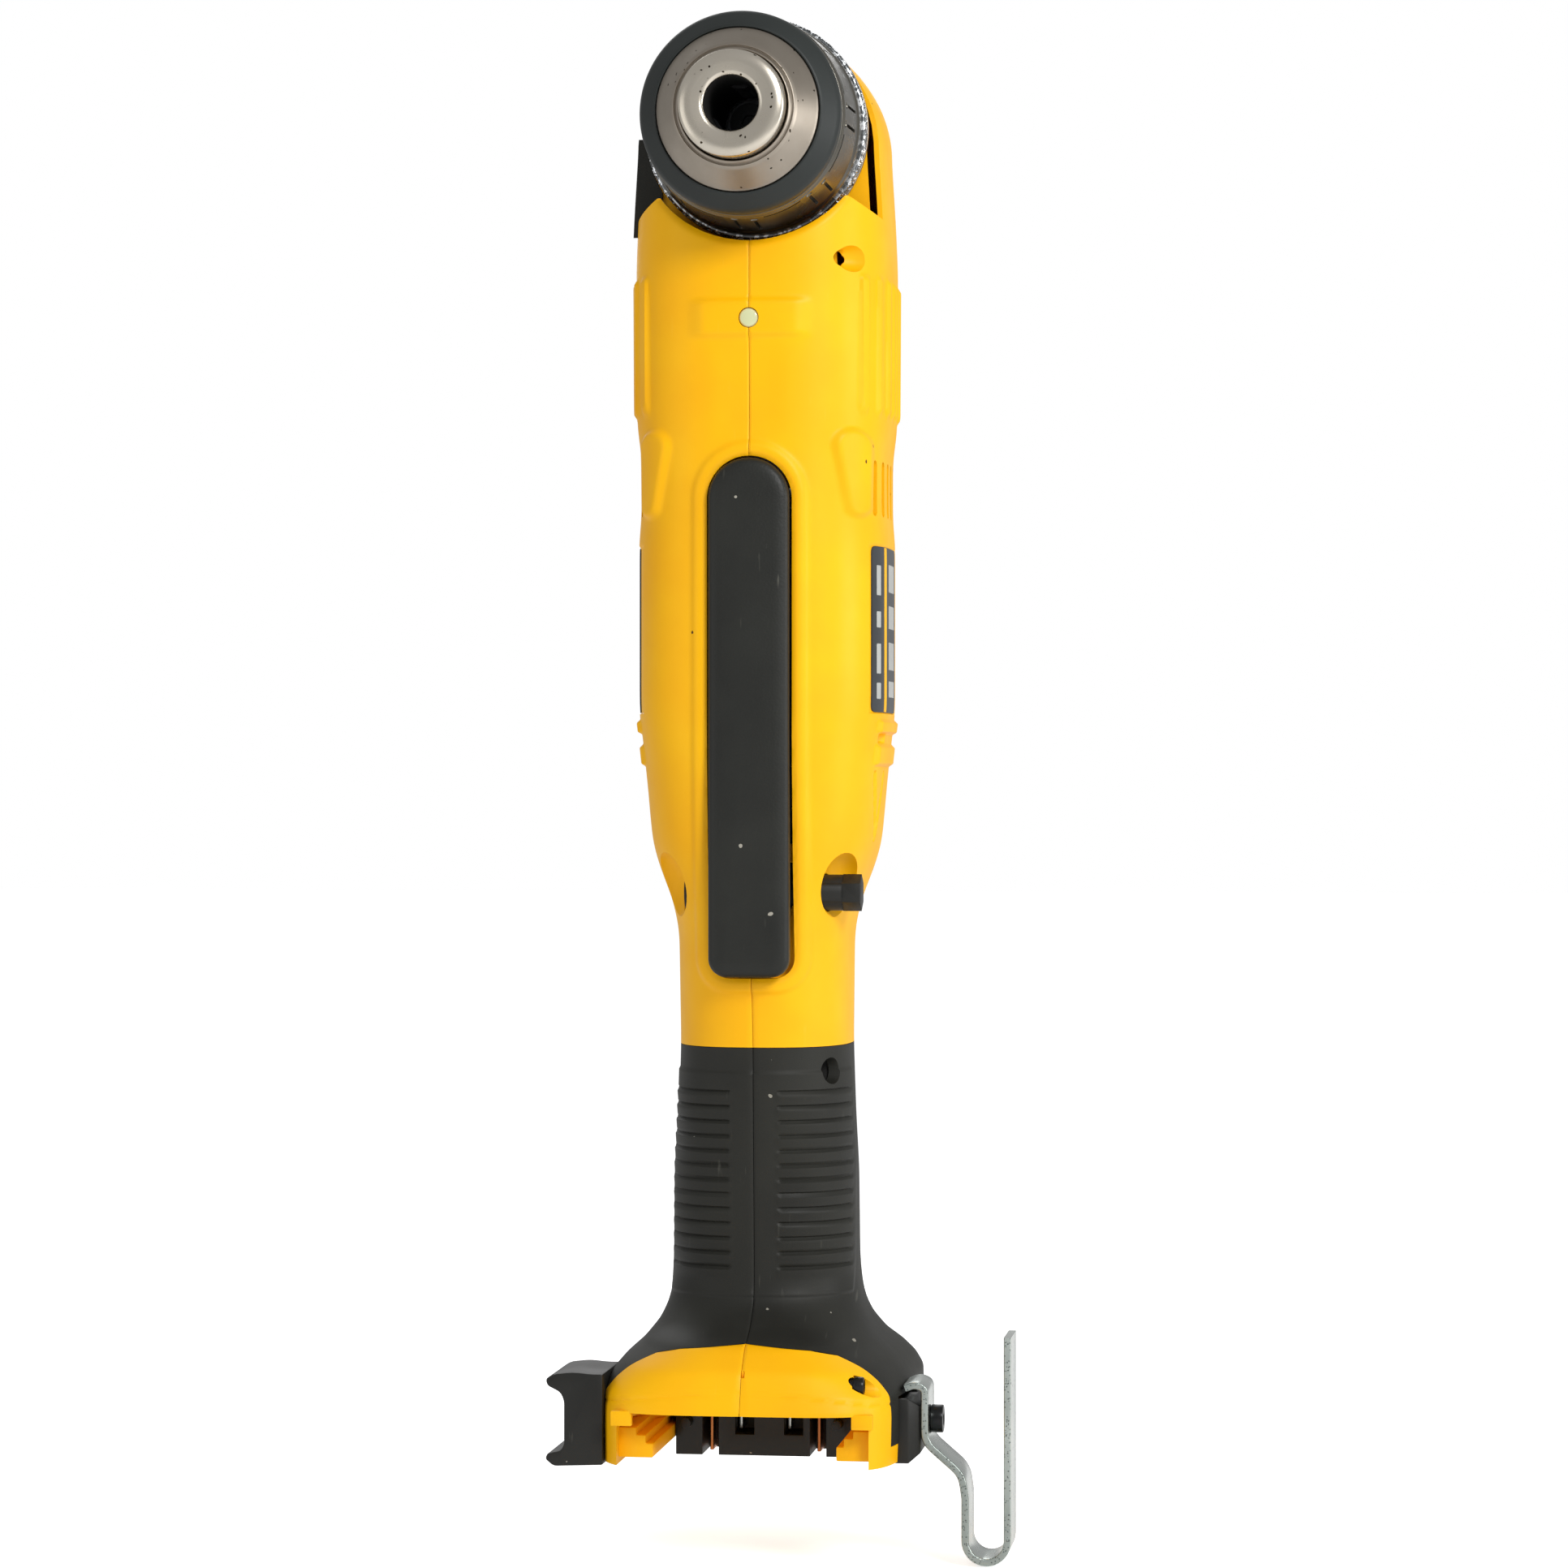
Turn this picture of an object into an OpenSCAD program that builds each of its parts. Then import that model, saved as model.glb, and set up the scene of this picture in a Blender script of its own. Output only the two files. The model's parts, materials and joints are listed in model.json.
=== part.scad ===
// Cordless right-angle drill, bare tool without its battery.
// +Z runs up the body and the chuck faces -Y. The origin is on the motor's axis, in the plane of the battery seat.

/* [Body] */
// Widest width of the body
body_w = 56; // [55:0.5:58]
// Wall of the nylon housing
wall = 2.5; // [2.2:0.1:2.6]
// Thickness of the rubber over the grip
rubber = 2; // [1.8:0.1:2.2]
// Height of the drilling axis above the battery seat
axis_z = 287; // [286:0.5:288]
// Width of the motor can
motor_d = 37; // [36:0.5:37]

/* [Trigger] */
// Width of the paddle trigger
paddle_w = 17.5; // [16:0.5:18]
// Lower end of the paddle
paddle_z0 = 103.5; // [102:0.5:105]
// Upper end of the paddle
paddle_z1 = 215; // [214:0.5:216]
// Sideways travel of the reverse button
button_travel = 7.7; // [7:0.1:8]

/* [Chuck] */
// Largest shank that the chuck takes
chuck_capacity = 10; // [9.5:0.1:10]
// Radius of the nose bore
nose_bore_r = 5.75; // [5.7:0.01:5.8]
// Distance from the motor's axis to the nose
nose_y = 59.3; // [59:0.1:60]
// Radius of the sleeve at its rear
sleeve_r = 23.2; // [23:0.1:23.4]

/* [Gears] */
// Module of the planetary gears
spur_m = 0.7; // [0.68:0.01:0.7]
// Module of the bevel gears
bevel_m = 1.25; // [1.23:0.01:1.25]
// Radial clearance of a shaft in its bearing
running = 0.05; // [0.03:0.01:0.08]

/* [Belt hook] */
// Thickness of the steel strap
strap_t = 1.6; // [1.4:0.1:1.8]
// Width of the steel strap
strap_w = 14; // [12:1:16]

/* [Hidden] */
$fn = 64;

// Body outline by height: half width, front depth, back depth and squareness
half_w = body_w / 2;
width_at = [[0, 1.16], [10, 1.18], [15, 1.18], [18, 1.13], [21, 1.045], [24, 0.925], [28, 0.81], [32, 0.75],
    [40, 0.722], [60, 0.715], [72, 0.69], [88, 0.67], [113, 0.675], [120, 0.73], [126, 0.82], [132, 0.885],
    [148, 0.932], [158, 0.97], [160, 0.985], [198, 0.985], [203, 0.965], [217, 0.965], [223, 1], [258, 1.005],
    [268, 0.99], [283.8, 0.955]];
front_at = [[0, 46], [12, 46], [20, 43], [25, 37.5], [28, 29], [33, 22.5], [45, 22.5], [88, 24.5], [104, 27],
    [125, 29], [150, 30.5], [215, 30.5], [258, 31], [283.8, 31]];
back_at = [[0, 37], [12, 37], [18, 35], [24, 29], [30, 24.5], [38, 22], [60, 21], [88, 22], [113, 24.5], [128, 28.5],
    [150, 31], [215, 31.5], [258, 33], [283.8, 33]];
square_at = [[0, 5], [15, 4.5], [24, 3], [35, 2.4], [88, 2.4], [132, 2.6], [160, 2.9], [283.8, 2.9], [310, 2.5]];
levels = [0, 6, 12, 15, 18, 21, 24, 28, 32, 38, 45, 60, 74, 88, 104, 113, 120, 126, 132, 140, 150, 160, 180, 198,
    203, 217, 223, 240, 258, 268, 276, 283.8, 289, 294, 298, 301.5, 304.5, 306.5, 308.2, 309.3, 310];
cavity_levels = [0, 15, 18, 21, 24, 28, 32, 45, 88, 113, 126, 132, 160, 203, 258, 276, 289, 298, 304.5];
dome_z = 283.8;
dome_r = 26.25;
ring_n = 36;
cavity_n = 20;
grip_top = 88;
strip_top = 127;
lip_y = -34;
mouth_r = 25.3;
mouth_y = -13;
horn_z = 271.5;

// Gear train
bevel_z = 12;
bevel_gear_z = 24;
pinion_large = bevel_m * bevel_gear_z / 2;
gear_large = bevel_m * bevel_z / 2;
cone_length = norm([pinion_large, gear_large]);
sun_z = 12;
planet_z = 18;
ring_z = 48;
orbit_r = spur_m * (sun_z + planet_z) / 2;
tooth_add = 0.8;
tooth_ded = 1.1;
tooth_gap = 0.06;
bevel_gap = 0.14;
planet_at = [90, 210, 330];
spindle_r = 6;
carrier_r = 6;
motor_shaft_r = 2.5;
planet_low = 214.3;
planet_t = 7;

// Chuck: distances are along the drilling axis, forward of the motor's axis
jaw_angle = 15;
jaw_r = 3;
jaw_tip_y = 45;
jaw_len_y = 25;
jaw_gap = 0.05;
nose_wall = 8;
bore_relief = 0.45;
nut_y0 = 36;
nut_y1 = 42.5;
chuck_body_r = 19;
sleeve_in_r = 19.3;

// Trigger and switch
paddle_y = -33;
paddle_t = 3.4;
pivot_y = -26;
pivot_z = 208;
slot_gap = 0.4;
plunger_z = 131;
plunger_r = 3;
button_y = -19;
button_z = 121.5;
button_r = 3.9;
led_z = 245;

// Foot
channel_w = 54;
channel_h = 11.4;
rail_in = 19.7;
hook_y = -20;
hook_screw_z = 8.2;
holder_y = -27;
holder_z = 9.5;
screws = [[-25.5, 258, 15], [26.5, 262, 15], [26.5, 170, 15], [25, 150, 15], [-15.5, 82.7, 11], [15, 56, 12],
    [-33, 17.6, 22], [29, 17, 20]];
big = 200;

// ---- curves ----
function rise(z) = max(0, min(1, (z - dome_z) / dome_r));
function round_top(z) = pow(max(0, 1 - pow(rise(z), 3)), 1 / 3);
function half_width(z) = z > dome_z
    ? half_w * 0.955 * sqrt(max(0, 1 - pow(rise(z), 2)))
    : half_w * lookup(z, width_at);
function front_depth(z) = lookup(min(z, dome_z), front_at) * round_top(z);
function back_depth(z) = lookup(min(z, dome_z), back_at) * round_top(z);
function power(v, n) = sign(v) * pow(abs(v), 2 / n);
function ring_point(w, f, b, n, a) = [w * power(cos(a), n), (sin(a) > 0 ? b : f) * power(sin(a), n)];
function ring(z, inset, count = ring_n) =
    let (w = max(0.4, half_width(z) - inset), f = max(0.4, front_depth(z) - inset),
        b = max(0.4, back_depth(z) - inset), n = lookup(z, square_at))
    [for (i = [0 : count - 1]) let (p = ring_point(w, f, b, n, 360 * i / count)) [p.x, p.y, z]];

// Half width of the body where its surface is at depth y
function side_x(y, z) =
    let (d = y > 0 ? back_depth(z) : front_depth(z), n = lookup(z, square_at))
    half_width(z) * pow(1 - pow(abs(y) / d, n), 1 / n);

// ---- general shapes ----
// A closed skin over rings of equal length
module skin(rings) {
    n = len(rings[0]);
    last = len(rings) - 1;
    sides = [for (k = [0 : last - 1]) for (i = [0 : n - 1])
        let (j = (i + 1) % n, a = k * n + i, b = k * n + j)
        each [[a, b + n, b], [a, a + n, b + n]]];
    polyhedron([for (r = rings) each r], concat([[for (i = [0 : n - 1]) i]], sides,
        [[for (i = [n - 1 : -1 : 0]) last * n + i]]), convexity = 8);
}

module body_form(inset = 0, z0 = 0, z1 = 310) {
    inner = [for (z = levels) if (z > z0 && z < z1) z];
    skin([for (z = concat([z0], inner, [z1])) ring(z, inset)]);
}

// Plainer form for what is hollow inside the housing
module cavity_form(inset, z0, z1) {
    inner = [for (z = cavity_levels) if (z > z0 && z < z1) z];
    skin([for (z = concat([z0], inner, [z1])) ring(z, inset, cavity_n)]);
}

// A round tube along a list of points
module tube(path, r, sides = 8) {
    last = len(path) - 1;
    function heading(i) = let (d = path[min(i + 1, last)] - path[max(i - 1, 0)]) d / norm(d);
    function across(d) = let (c = cross(d, abs(d.y) > 0.9 ? [0, 0, 1] : [0, 1, 0])) c / norm(c);
    skin([for (i = [0 : last]) let (d = heading(i), u = across(d), v = cross(u, d))
        [for (k = [0 : sides - 1]) path[i] + r * (cos(360 * k / sides) * u + sin(360 * k / sides) * v)]]);
}

module side_half(side) {
    intersection() {
        children();
        translate([side > 0 ? 0 : -big, -big, -big]) cube([big, 2 * big, 3 * big]);
    }
}

// Local +Z points forward along the drilling axis, and local +Y points up
module forward(distance = 0) {
    translate([0, -distance, axis_z]) rotate([90, 0, 0]) children();
}

module ring_solid(r_out, r_in, h) {
    difference() {
        cylinder(r = r_out, h = h);
        translate([0, 0, -1]) cylinder(r = r_in, h = h + 2);
    }
}

module across_x(x0, x1, y, z, r, sides = 32) {
    translate([x0, y, z]) rotate([0, 90, 0]) cylinder(r = r, h = x1 - x0, $fn = sides);
}

// ---- gears ----
function inv_angle(a) = tan(a) * 180 / PI - a;
function half_tooth(n, m, cone, h, thin) =
    let (nv = n / cos(cone), rv = m * nv / 2, rb = rv * cos(20), r = rv + h, a = r > rb ? acos(rb / r) : 0,
        angle = 90 / nv - thin / rv * 180 / PI + inv_angle(20) - inv_angle(a))
    r * angle / (m * n / 2 + h * cos(cone));
// Outline of a gear: for a bevel gear, its section at the plane that holds its large end
function gear_outline(n, m, add, ded, thin, cone = 0, plane = 0) =
    let (hs = [-ded * m, -ded * m / 2, 0, add * m / 2, add * m],
        rs = [for (h = hs) cone > 0 ? plane * tan(cone + atan(h / cone_length)) : m * n / 2 + h],
        as = [for (h = hs) half_tooth(n, m, cone, h, thin)])
    [for (t = [0 : n - 1]) let (c = 360 * t / n) each concat(
        [for (k = [0 : 4]) rs[k] * [cos(c - as[k]), sin(c - as[k])]],
        [for (k = [4 : -1 : 0]) rs[k] * [cos(c + as[k]), sin(c + as[k])]])];

module spur(n, h, bore) {
    difference() {
        linear_extrude(h) polygon(gear_outline(n, spur_m, tooth_add, tooth_ded, tooth_gap));
        translate([0, 0, -1]) cylinder(r = bore, h = h + 2);
    }
}

function planet_turn(a) = a + 180 - 360 / planet_z * (0.5 - a * sun_z / 360);

// ---- housing ----
module lip_zone() {
    translate([0, lip_y, 0]) rotate([90, 0, 0]) linear_extrude(40)
        polygon([[-50, -1], [50, -1], [50, 10], [31, 15], [27, 20.5], [0, 25.5], [-27, 20.5], [-31, 15], [-50, 10]]);
}

module strip_zone(grow) {
    intersection() {
        difference() {
            body_form(-grow);
            body_form(rubber);
        }
        translate([-big / 2, 0, 0]) rotate([90, 0, 90]) linear_extrude(big)
            polygon([[4, grip_top], [60, grip_top], [60, strip_top + 10], [24, strip_top], [8, grip_top + 20]]);
    }
}

// What the rubber fills, grown outwards where it is cut from the housing
module rubber_zone(grow = 0) {
    difference() {
        intersection() {
            difference() {
                body_form(-grow);
                body_form(rubber);
            }
            translate([-60, -60, 4]) cube([120, 120, grip_top - 4]);
        }
        lip_zone();
    }
    strip_zone(grow);
}

// Groove with round ends between two points
module groove(a, b, r) {
    hull() {
        translate(a) sphere(r = r, $fn = 8);
        translate(b) sphere(r = r, $fn = 8);
    }
}

module grip_grooves(side) {
    for (i = [0 : 12])
        let (z = 40 + 3.15 * i, y0 = -front_depth(z) * 0.985, y1 = -front_depth(z) * 0.55)
        groove([side * 5.5, y0, z], [side * side_x(y1, z), y1, z], 0.5);
}

module side_features(side) {
    // long ridges on the flank above the vents
    for (y = [-22, -16, -10])
        groove([side * (side_x(y, 228) - 0.4), y, 226], [side * (side_x(y, 255) - 0.4), y, 255], 1);
    // round-topped pod beside the paddle
    hull() {
        translate([side * (side_x(-23, 219) - 2), -23, 219]) sphere(r = 3.6, $fn = 12);
        translate([side * (side_x(-23, 206) - 1.6), -23, 206]) sphere(r = 2, $fn = 12);
    }
    // collars under the label
    for (z = [150.5, 157])
        intersection() {
            difference() {
                body_form(-0.7, z - 1.6, z + 1.6);
                body_form(2, z - 3, z + 3);
            }
            translate([side > 0 ? 21 : -big - 21, -21, 0]) cube([big, 40, big]);
        }
}

module vents(side) {
    for (y = [-16, -10, -4, 2, 8])
        hull() for (z = [204.5, 214])
            across_x(side > 0 ? 18 : -40, side > 0 ? 40 : -18, y, z, 1.3, 8);
}

// Curved plate on the flank, made of short flat lengths
module flank_plate(side, z0, z1, y0, y1, proud, deep) {
    n = 8;
    for (i = [0 : n - 1])
        hull() for (k = [0, 1]) for (z = [z0, z1])
            let (y = y0 + (y1 - y0) * (i + k) / n, x = side_x(y, z))
            translate([side > 0 ? x - deep : -x - proud, y - 0.01, z - (z == z1 ? 0.02 : 0)])
                cube([deep + proud, 0.02, 0.02]);
}

// Plate on the flank where the body keeps its width
module label_plate(side, z0, z1, y0, y1, proud, deep) {
    ys = [for (i = [0 : 8]) y0 + (y1 - y0) * i / 8];
    outer = [for (y = ys) [side * (side_x(y, z0) + proud), y]];
    inner = [for (i = [8 : -1 : 0]) [side * (side_x(ys[i], z0) - deep), ys[i]]];
    translate([0, 0, z0]) linear_extrude(z1 - z0) polygon(concat(outer, inner));
}

module screw_places(side) {
    for (s = screws)
        if (side > 0) {
            across_x(-1, 60, s.x, s.y, 1.8, 12);
            across_x(s.z - 0.1, 60, s.x, s.y, 3.4, 16);
        } else
            across_x(-9, 1, s.x, s.y, 1.6, 12);
}

module screw_bosses(side) {
    for (s = screws)
        across_x(side > 0 ? 0 : -s.z - 3, side > 0 ? s.z + 3 : 0, s.x, s.y, 4.4, 12);
}

// Inner webs that carry the motor and the gear case
module webs() {
    sides = 24;
    for (web = [[145, motor_d / 2], [152, motor_d / 2], [190, motor_d / 2], [216, 21]])
        difference() {
            cavity_form(wall - 0.5, web.x, web.x + 2);
            translate([0, 0, web.x - 1]) cylinder(r = (web.y + 0.05) / cos(180 / sides), h = 4, $fn = sides);
        }
}

module housing(side) {
    side_half(side) difference() {
        union() {
            difference() {
                union() {
                    body_form();
                    side_features(side);
                }
                rubber_zone(1);
                cavity_form(wall + rubber, 13.9, strip_top + 3);
                cavity_form(wall, strip_top + 2, 307.4);
            }
            webs();
            intersection() {
                screw_bosses(side);
                body_form(rubber + 0.3);
            }
            hinge_bosses(side);
        }
        // battery channel, open at the front and below
        translate([-channel_w / 2, -60, -5]) cube([channel_w, 60 + 14, channel_h + 5]);
        // mouth around the chuck
        forward(-mouth_y) cylinder(r = mouth_r, h = 60, $fn = 48);
        translate([-60, -60 + mouth_y, horn_z]) cube([120, 60, 60]);
        // opening in the roof of the channel for the terminals
        translate([-15.1, -6.1, 11]) cube([30.2, 16.2, 6]);
        paddle_slot();
        vents(side);
        screw_places(side);
        button_opening();
        translate([0, -20, led_z]) rotate([90, 0, 0]) cylinder(r = 2.2, h = 20, $fn = 24);
        label_plate(side, 160.4, 196.8, -19, 12, 2, 0.5);
        across_x(-14, 14, pivot_y, pivot_z, 1.55, 24);
        // seats of the bit holder and of the hook's boss
        if (side > 0)
            across_x(20, 60, hook_y, hook_screw_z, 2.6, 24);
        else
            across_x(-60, -20, holder_y, holder_z, 1.8, 24);
        translate([side > 0 ? 30.4 : -90.4, hook_y - 9, -1]) cube(side > 0 ? [60, 18, 15] : [0.01, 0.01, 0.01]);
        translate([side < 0 ? -90.4 : 200, holder_y - 11.5, -2]) cube([60, 23, 20]);
    }
    rails(side);
}

module rails(side) {
    mirror([side > 0 ? 0 : 1, 0, 0])
        for (step = [[0, 1.2, 4.2], [1.6, 4.1, 6], [3.6, 5.9, 7.6]])
            translate([rail_in + step.x, -38, step.y])
                cube([channel_w / 2 - rail_in - step.x + 0.5, 50, step.z - step.y]);
}

module hinge_bosses(side) {
    difference() {
        across_x(side > 0 ? 9.3 : -13, side > 0 ? 13 : -9.3, pivot_y, pivot_z, 3.4, 24);
        translate([-9.3, -60, 0]) cube([18.6, 60, 300]);
    }
}

module paddle_outline(grow, sides = 64) {
    r = paddle_w / 2;
    translate([0, paddle_z1 - r]) circle(r = r + grow, $fn = sides);
    translate([-r - grow, paddle_z0 + 4]) square([2 * (r + grow), paddle_z1 - paddle_z0 - r - 4]);
    for (s = [-1, 1])
        translate([s * (r - 4), paddle_z0 + 4]) circle(r = 4 + grow, $fn = sides);
    translate([4 - r, paddle_z0 - grow]) square([2 * r - 8, 5]);
}

module paddle_slot() {
    translate([0, -22, 0]) rotate([90, 0, 0]) linear_extrude(40) paddle_outline(slot_gap, 32);
}

module button_opening() {
    across_x(-40, 40, button_y, button_z, button_r + 0.2, 24);
    for (s = [-1, 1])
        translate([s * 20.5, button_y - 2, button_z]) scale([0.75, 1, 1]) sphere(r = 8, $fn = 16);
}

module housing_left() {
    color("gold") housing(-1);
}

module housing_right() {
    color("gold") housing(1);
}

module grip(side) {
    side_half(side) difference() {
        rubber_zone();
        grip_grooves(side);
        screw_places(side);
        translate([side > 0 ? 30.4 : 200, hook_y - 9, -1]) cube([60, 18, 15]);
        translate([side < 0 ? -90.4 : 200, holder_y - 11.5, -2]) cube([60, 23, 20]);
        if (side > 0) {
            translate([30, hook_y - 8, 12]) cube([10, 16, 6]);
            across_x(20, 60, hook_y, hook_screw_z, 2.6, 24);
        } else
            across_x(-60, -20, holder_y, holder_z, 1.8, 24);
    }
}

module grip_left() {
    color("dimgray") grip(-1);
}

module grip_right() {
    color("dimgray") grip(1);
}

// Rubber pad on the left of the head
module head_pad() {
    color("black") difference() {
        flank_plate(-1, 268, 284, -11.5, 8, 1.2, -0.05);
        forward(-mouth_y) cylinder(r = mouth_r, h = 60);
    }
}

// ---- gearbox ----
module gear_case() {
    color("silver") difference() {
        union() {
            translate([0, 0, 212.2]) cylinder(r = 21, h = 26);
            translate([0, 0, 238]) cylinder(r1 = 21, r2 = 12.9, h = 14);
            translate([0, 0, 250]) cylinder(r = 12.9, h = axis_z - 250);
            forward(-13.5) cylinder(r = 19.2, h = 13.5 - mouth_y);
            forward(-21.5) cylinder(r = 13, h = 10);
        }
        translate([0, 0, 211]) cylinder(r = 19.3, h = 15.5);
        translate([0, 0, 226]) cylinder(r = 14, h = 4.2);
        translate([0, 0, 230]) cylinder(r = 13, h = 8);
        translate([0, 0, 237]) cylinder(r = 9.5, h = axis_z - 237);
        forward(-12.4) cylinder(r = 16.6, h = 20.1);
        forward(-20) cylinder(r = 10.5, h = 8);
        forward(7.6) cylinder(r = 9.5, h = 5);
        forward(12) cylinder(r = 6.6, h = 3);
    }
}

module ring_gear() {
    color("slategray") translate([0, 0, 212.5]) difference() {
        cylinder(r = 19.3, h = 13.5);
        translate([0, 0, -1]) linear_extrude(16)
            polygon([for (p = gear_outline(ring_z, spur_m, tooth_ded, tooth_add, -tooth_gap))
                let (t = 180 / ring_z) [p.x * cos(t) - p.y * sin(t), p.x * sin(t) + p.y * cos(t)]]);
    }
}

module gearbox_plate() {
    color("silver") translate([0, 0, 206]) difference() {
        cylinder(r = 20.5, h = 6.2);
        translate([0, 0, -1]) cylinder(r = 8, h = 6);
        translate([0, 0, -1]) cylinder(r = 5.2, h = 9);
    }
}

module planet_carrier() {
    color("gray") union() {
        translate([0, 0, 222]) cylinder(r = 12.8, h = 3.5);
        for (a = planet_at)
            rotate([0, 0, a]) translate([orbit_r, 0, 213.9]) cylinder(r = 2, h = 9);
        translate([0, 0, 225]) cylinder(r = carrier_r, h = 37);
        translate([0, 0, 225]) cylinder(r = 3, h = axis_z - 12 - 225);
    }
}

module bevel_pinion() {
    cone = atan(bevel_z / bevel_gear_z);
    color("slategray") translate([0, 0, axis_z]) difference() {
        union() {
            translate([0, 0, -pinion_large]) linear_extrude(5.4, scale = (pinion_large - 5.4) / pinion_large)
                polygon(gear_outline(bevel_z, bevel_m, tooth_add, tooth_ded, bevel_gap, cone, pinion_large));
            translate([0, 0, -axis_z + 262]) cylinder(r = 7.2, h = axis_z - 263 - pinion_large);
            translate([0, 0, -axis_z + 262]) cylinder(r = 5.8, h = axis_z - 262 - pinion_large);
        }
        translate([0, 0, -axis_z + 261]) cylinder(r = 3.02, h = 20);
    }
}

module bevel_gear() {
    cone = atan(bevel_gear_z / bevel_z);
    color("slategray") forward(-gear_large) difference() {
        union() {
            intersection() {
                linear_extrude(2.7, scale = (gear_large - 2.7) / gear_large) rotate(180 / bevel_gear_z)
                    polygon(gear_outline(bevel_gear_z, bevel_m, tooth_add, tooth_ded, bevel_gap, cone, gear_large));
                cylinder(r = 15.9, h = 3);
            }
            translate([0, 0, -3]) cylinder(r = 12, h = 3);
            translate([0, 0, -4.8]) cylinder(r = 9, h = 2);
        }
        translate([0, 0, -6]) cylinder(r = spindle_r + 0.02, h = 12);
    }
}

module sun_gear() {
    color("slategray") translate([0, 0, 213.6]) spur(sun_z, 8, motor_shaft_r);
}

module planet(k) {
    a = planet_at[k];
    color("slategray") rotate([0, 0, a]) translate([orbit_r, 0, planet_low]) rotate([0, 0, planet_turn(a) - a])
        spur(planet_z, planet_t, 2 + running);
}

module planet_1() {
    planet(0);
}

module planet_2() {
    planet(1);
}

module planet_3() {
    planet(2);
}

module spindle_bearings() {
    color("silver") union() {
        forward(-20) ring_solid(10.5, spindle_r + running, 6);
        forward(7.6) ring_solid(9.5, spindle_r + running, 4.2);
    }
}

module pinion_bearing() {
    color("silver") translate([0, 0, 230.1]) ring_solid(13, carrier_r + running, 7.8);
}

// ---- motor ----
module motor_can() {
    color("gray") translate([0, 0, 149]) difference() {
        cylinder(d = motor_d, h = 49);
        translate([0, 0, -1]) cylinder(d = motor_d - 2.8, h = 48.5);
        translate([0, 0, 40]) cylinder(r = 8, h = 10);
        for (a = [0 : 60 : 300])
            rotate([0, 0, a]) translate([12, 0, 40]) cylinder(r = 2.5, h = 10);
    }
}

module motor_magnets() {
    color("black") translate([0, 0, 158]) difference() {
        ring_solid(motor_d / 2 - 1.4, 14.8, 32);
        for (s = [-1, 1])
            translate([s * 18 - 5, -30, -1]) cube([10, 60, 34]);
    }
}

module motor_end_cap() {
    color("black") translate([0, 0, 142]) difference() {
        union() {
            cylinder(d = motor_d - 3, h = 7);
            translate([0, 0, 6.9]) ring_solid(motor_d / 2 - 1.5, 14.6, 8);
            for (s = [-1, 1])
                translate([s * 11 - 3.5, -3.6, 6]) cube([7, 7.2, 8.5]);
        }
        translate([0, 0, -1]) cylinder(r = 3.2, h = 10);
        translate([0, 0, 2]) cylinder(r = 6.5, h = 8);
        for (s = [-1, 1])
            translate([s * 10.8 - 4.2, -2.5, 9.5]) cube([8.4, 5, 4]);
        translate([0, 0, 8]) cylinder(r = 8.2, h = 10);
    }
}

module brushes() {
    color("dimgray") for (s = [-1, 1])
        translate([s > 0 ? 7.8 : -14.5, -2.45, 151.6]) cube([6.7, 4.9, 3.8]);
}

module motor_bearings() {
    color("silver") union() {
        translate([0, 0, 144.05]) ring_solid(6.5, motor_shaft_r + running, 4);
        translate([0, 0, 206.5]) ring_solid(8, motor_shaft_r + running, 4.4);
    }
}

module motor_shaft() {
    color("silver") translate([0, 0, 143]) cylinder(r = motor_shaft_r, h = 78.6);
}

module armature() {
    color("saddlebrown") difference() {
        union() {
            translate([0, 0, 161]) linear_extrude(26) difference() {
                circle(r = 14.3);
                for (a = [0 : 36 : 324])
                    rotate(a) translate([9.5, -0.9]) square([6, 1.8]);
            }
            translate([0, 0, 157.5]) cylinder(r = 11.5, h = 33);
        }
        translate([0, 0, 150]) cylinder(r = motor_shaft_r, h = 50);
    }
}

module commutator() {
    color("peru") translate([0, 0, 150.5]) ring_solid(7.6, motor_shaft_r, 6.8);
}

module fan() {
    color("black") translate([0, 0, 199]) difference() {
        union() {
            cylinder(r = 5, h = 6);
            cylinder(r = 16.5, h = 1.2);
            for (a = [0 : 30 : 330])
                rotate([0, 0, a]) translate([4, -0.5, 0]) cube([12, 1, 6]);
        }
        translate([0, 0, -1]) cylinder(r = motor_shaft_r, h = 9);
    }
}

// ---- chuck ----
function jaw_axis_r(y) = 2.64 + (nose_y - nose_wall - y) * tan(jaw_angle);

// Cylinder along a jaw's slanted path, from y0 to y1 forward
module jaw_path(y0, y1, r) {
    translate([jaw_axis_r(y0), 0, y0]) rotate([0, -jaw_angle, 0]) cylinder(r = r, h = (y1 - y0) / cos(jaw_angle));
}

module jaw(k) {
    face_r = chuck_capacity / 2;
    apex_r = face_r - 0.75;
    gap = 0.2;
    half = (face_r - apex_r) * tan(60) - gap;
    color("darkgray") forward() rotate([0, 0, 90 + 120 * k]) difference() {
        intersection() {
            jaw_path(jaw_tip_y - jaw_len_y, jaw_tip_y + 4, jaw_r);
            linear_extrude(60) polygon([[face_r, -half], [face_r + 4, -half - 4 * tan(60)], [30, -30], [30, 30],
                [face_r + 4, half + 4 * tan(60)], [face_r, half]]);
        }
        translate([0, -10, jaw_tip_y]) cube([20, 20, 20]);
    }
}

module jaw_1() {
    jaw(0);
}

module jaw_2() {
    jaw(1);
}

module jaw_3() {
    jaw(2);
}

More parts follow.
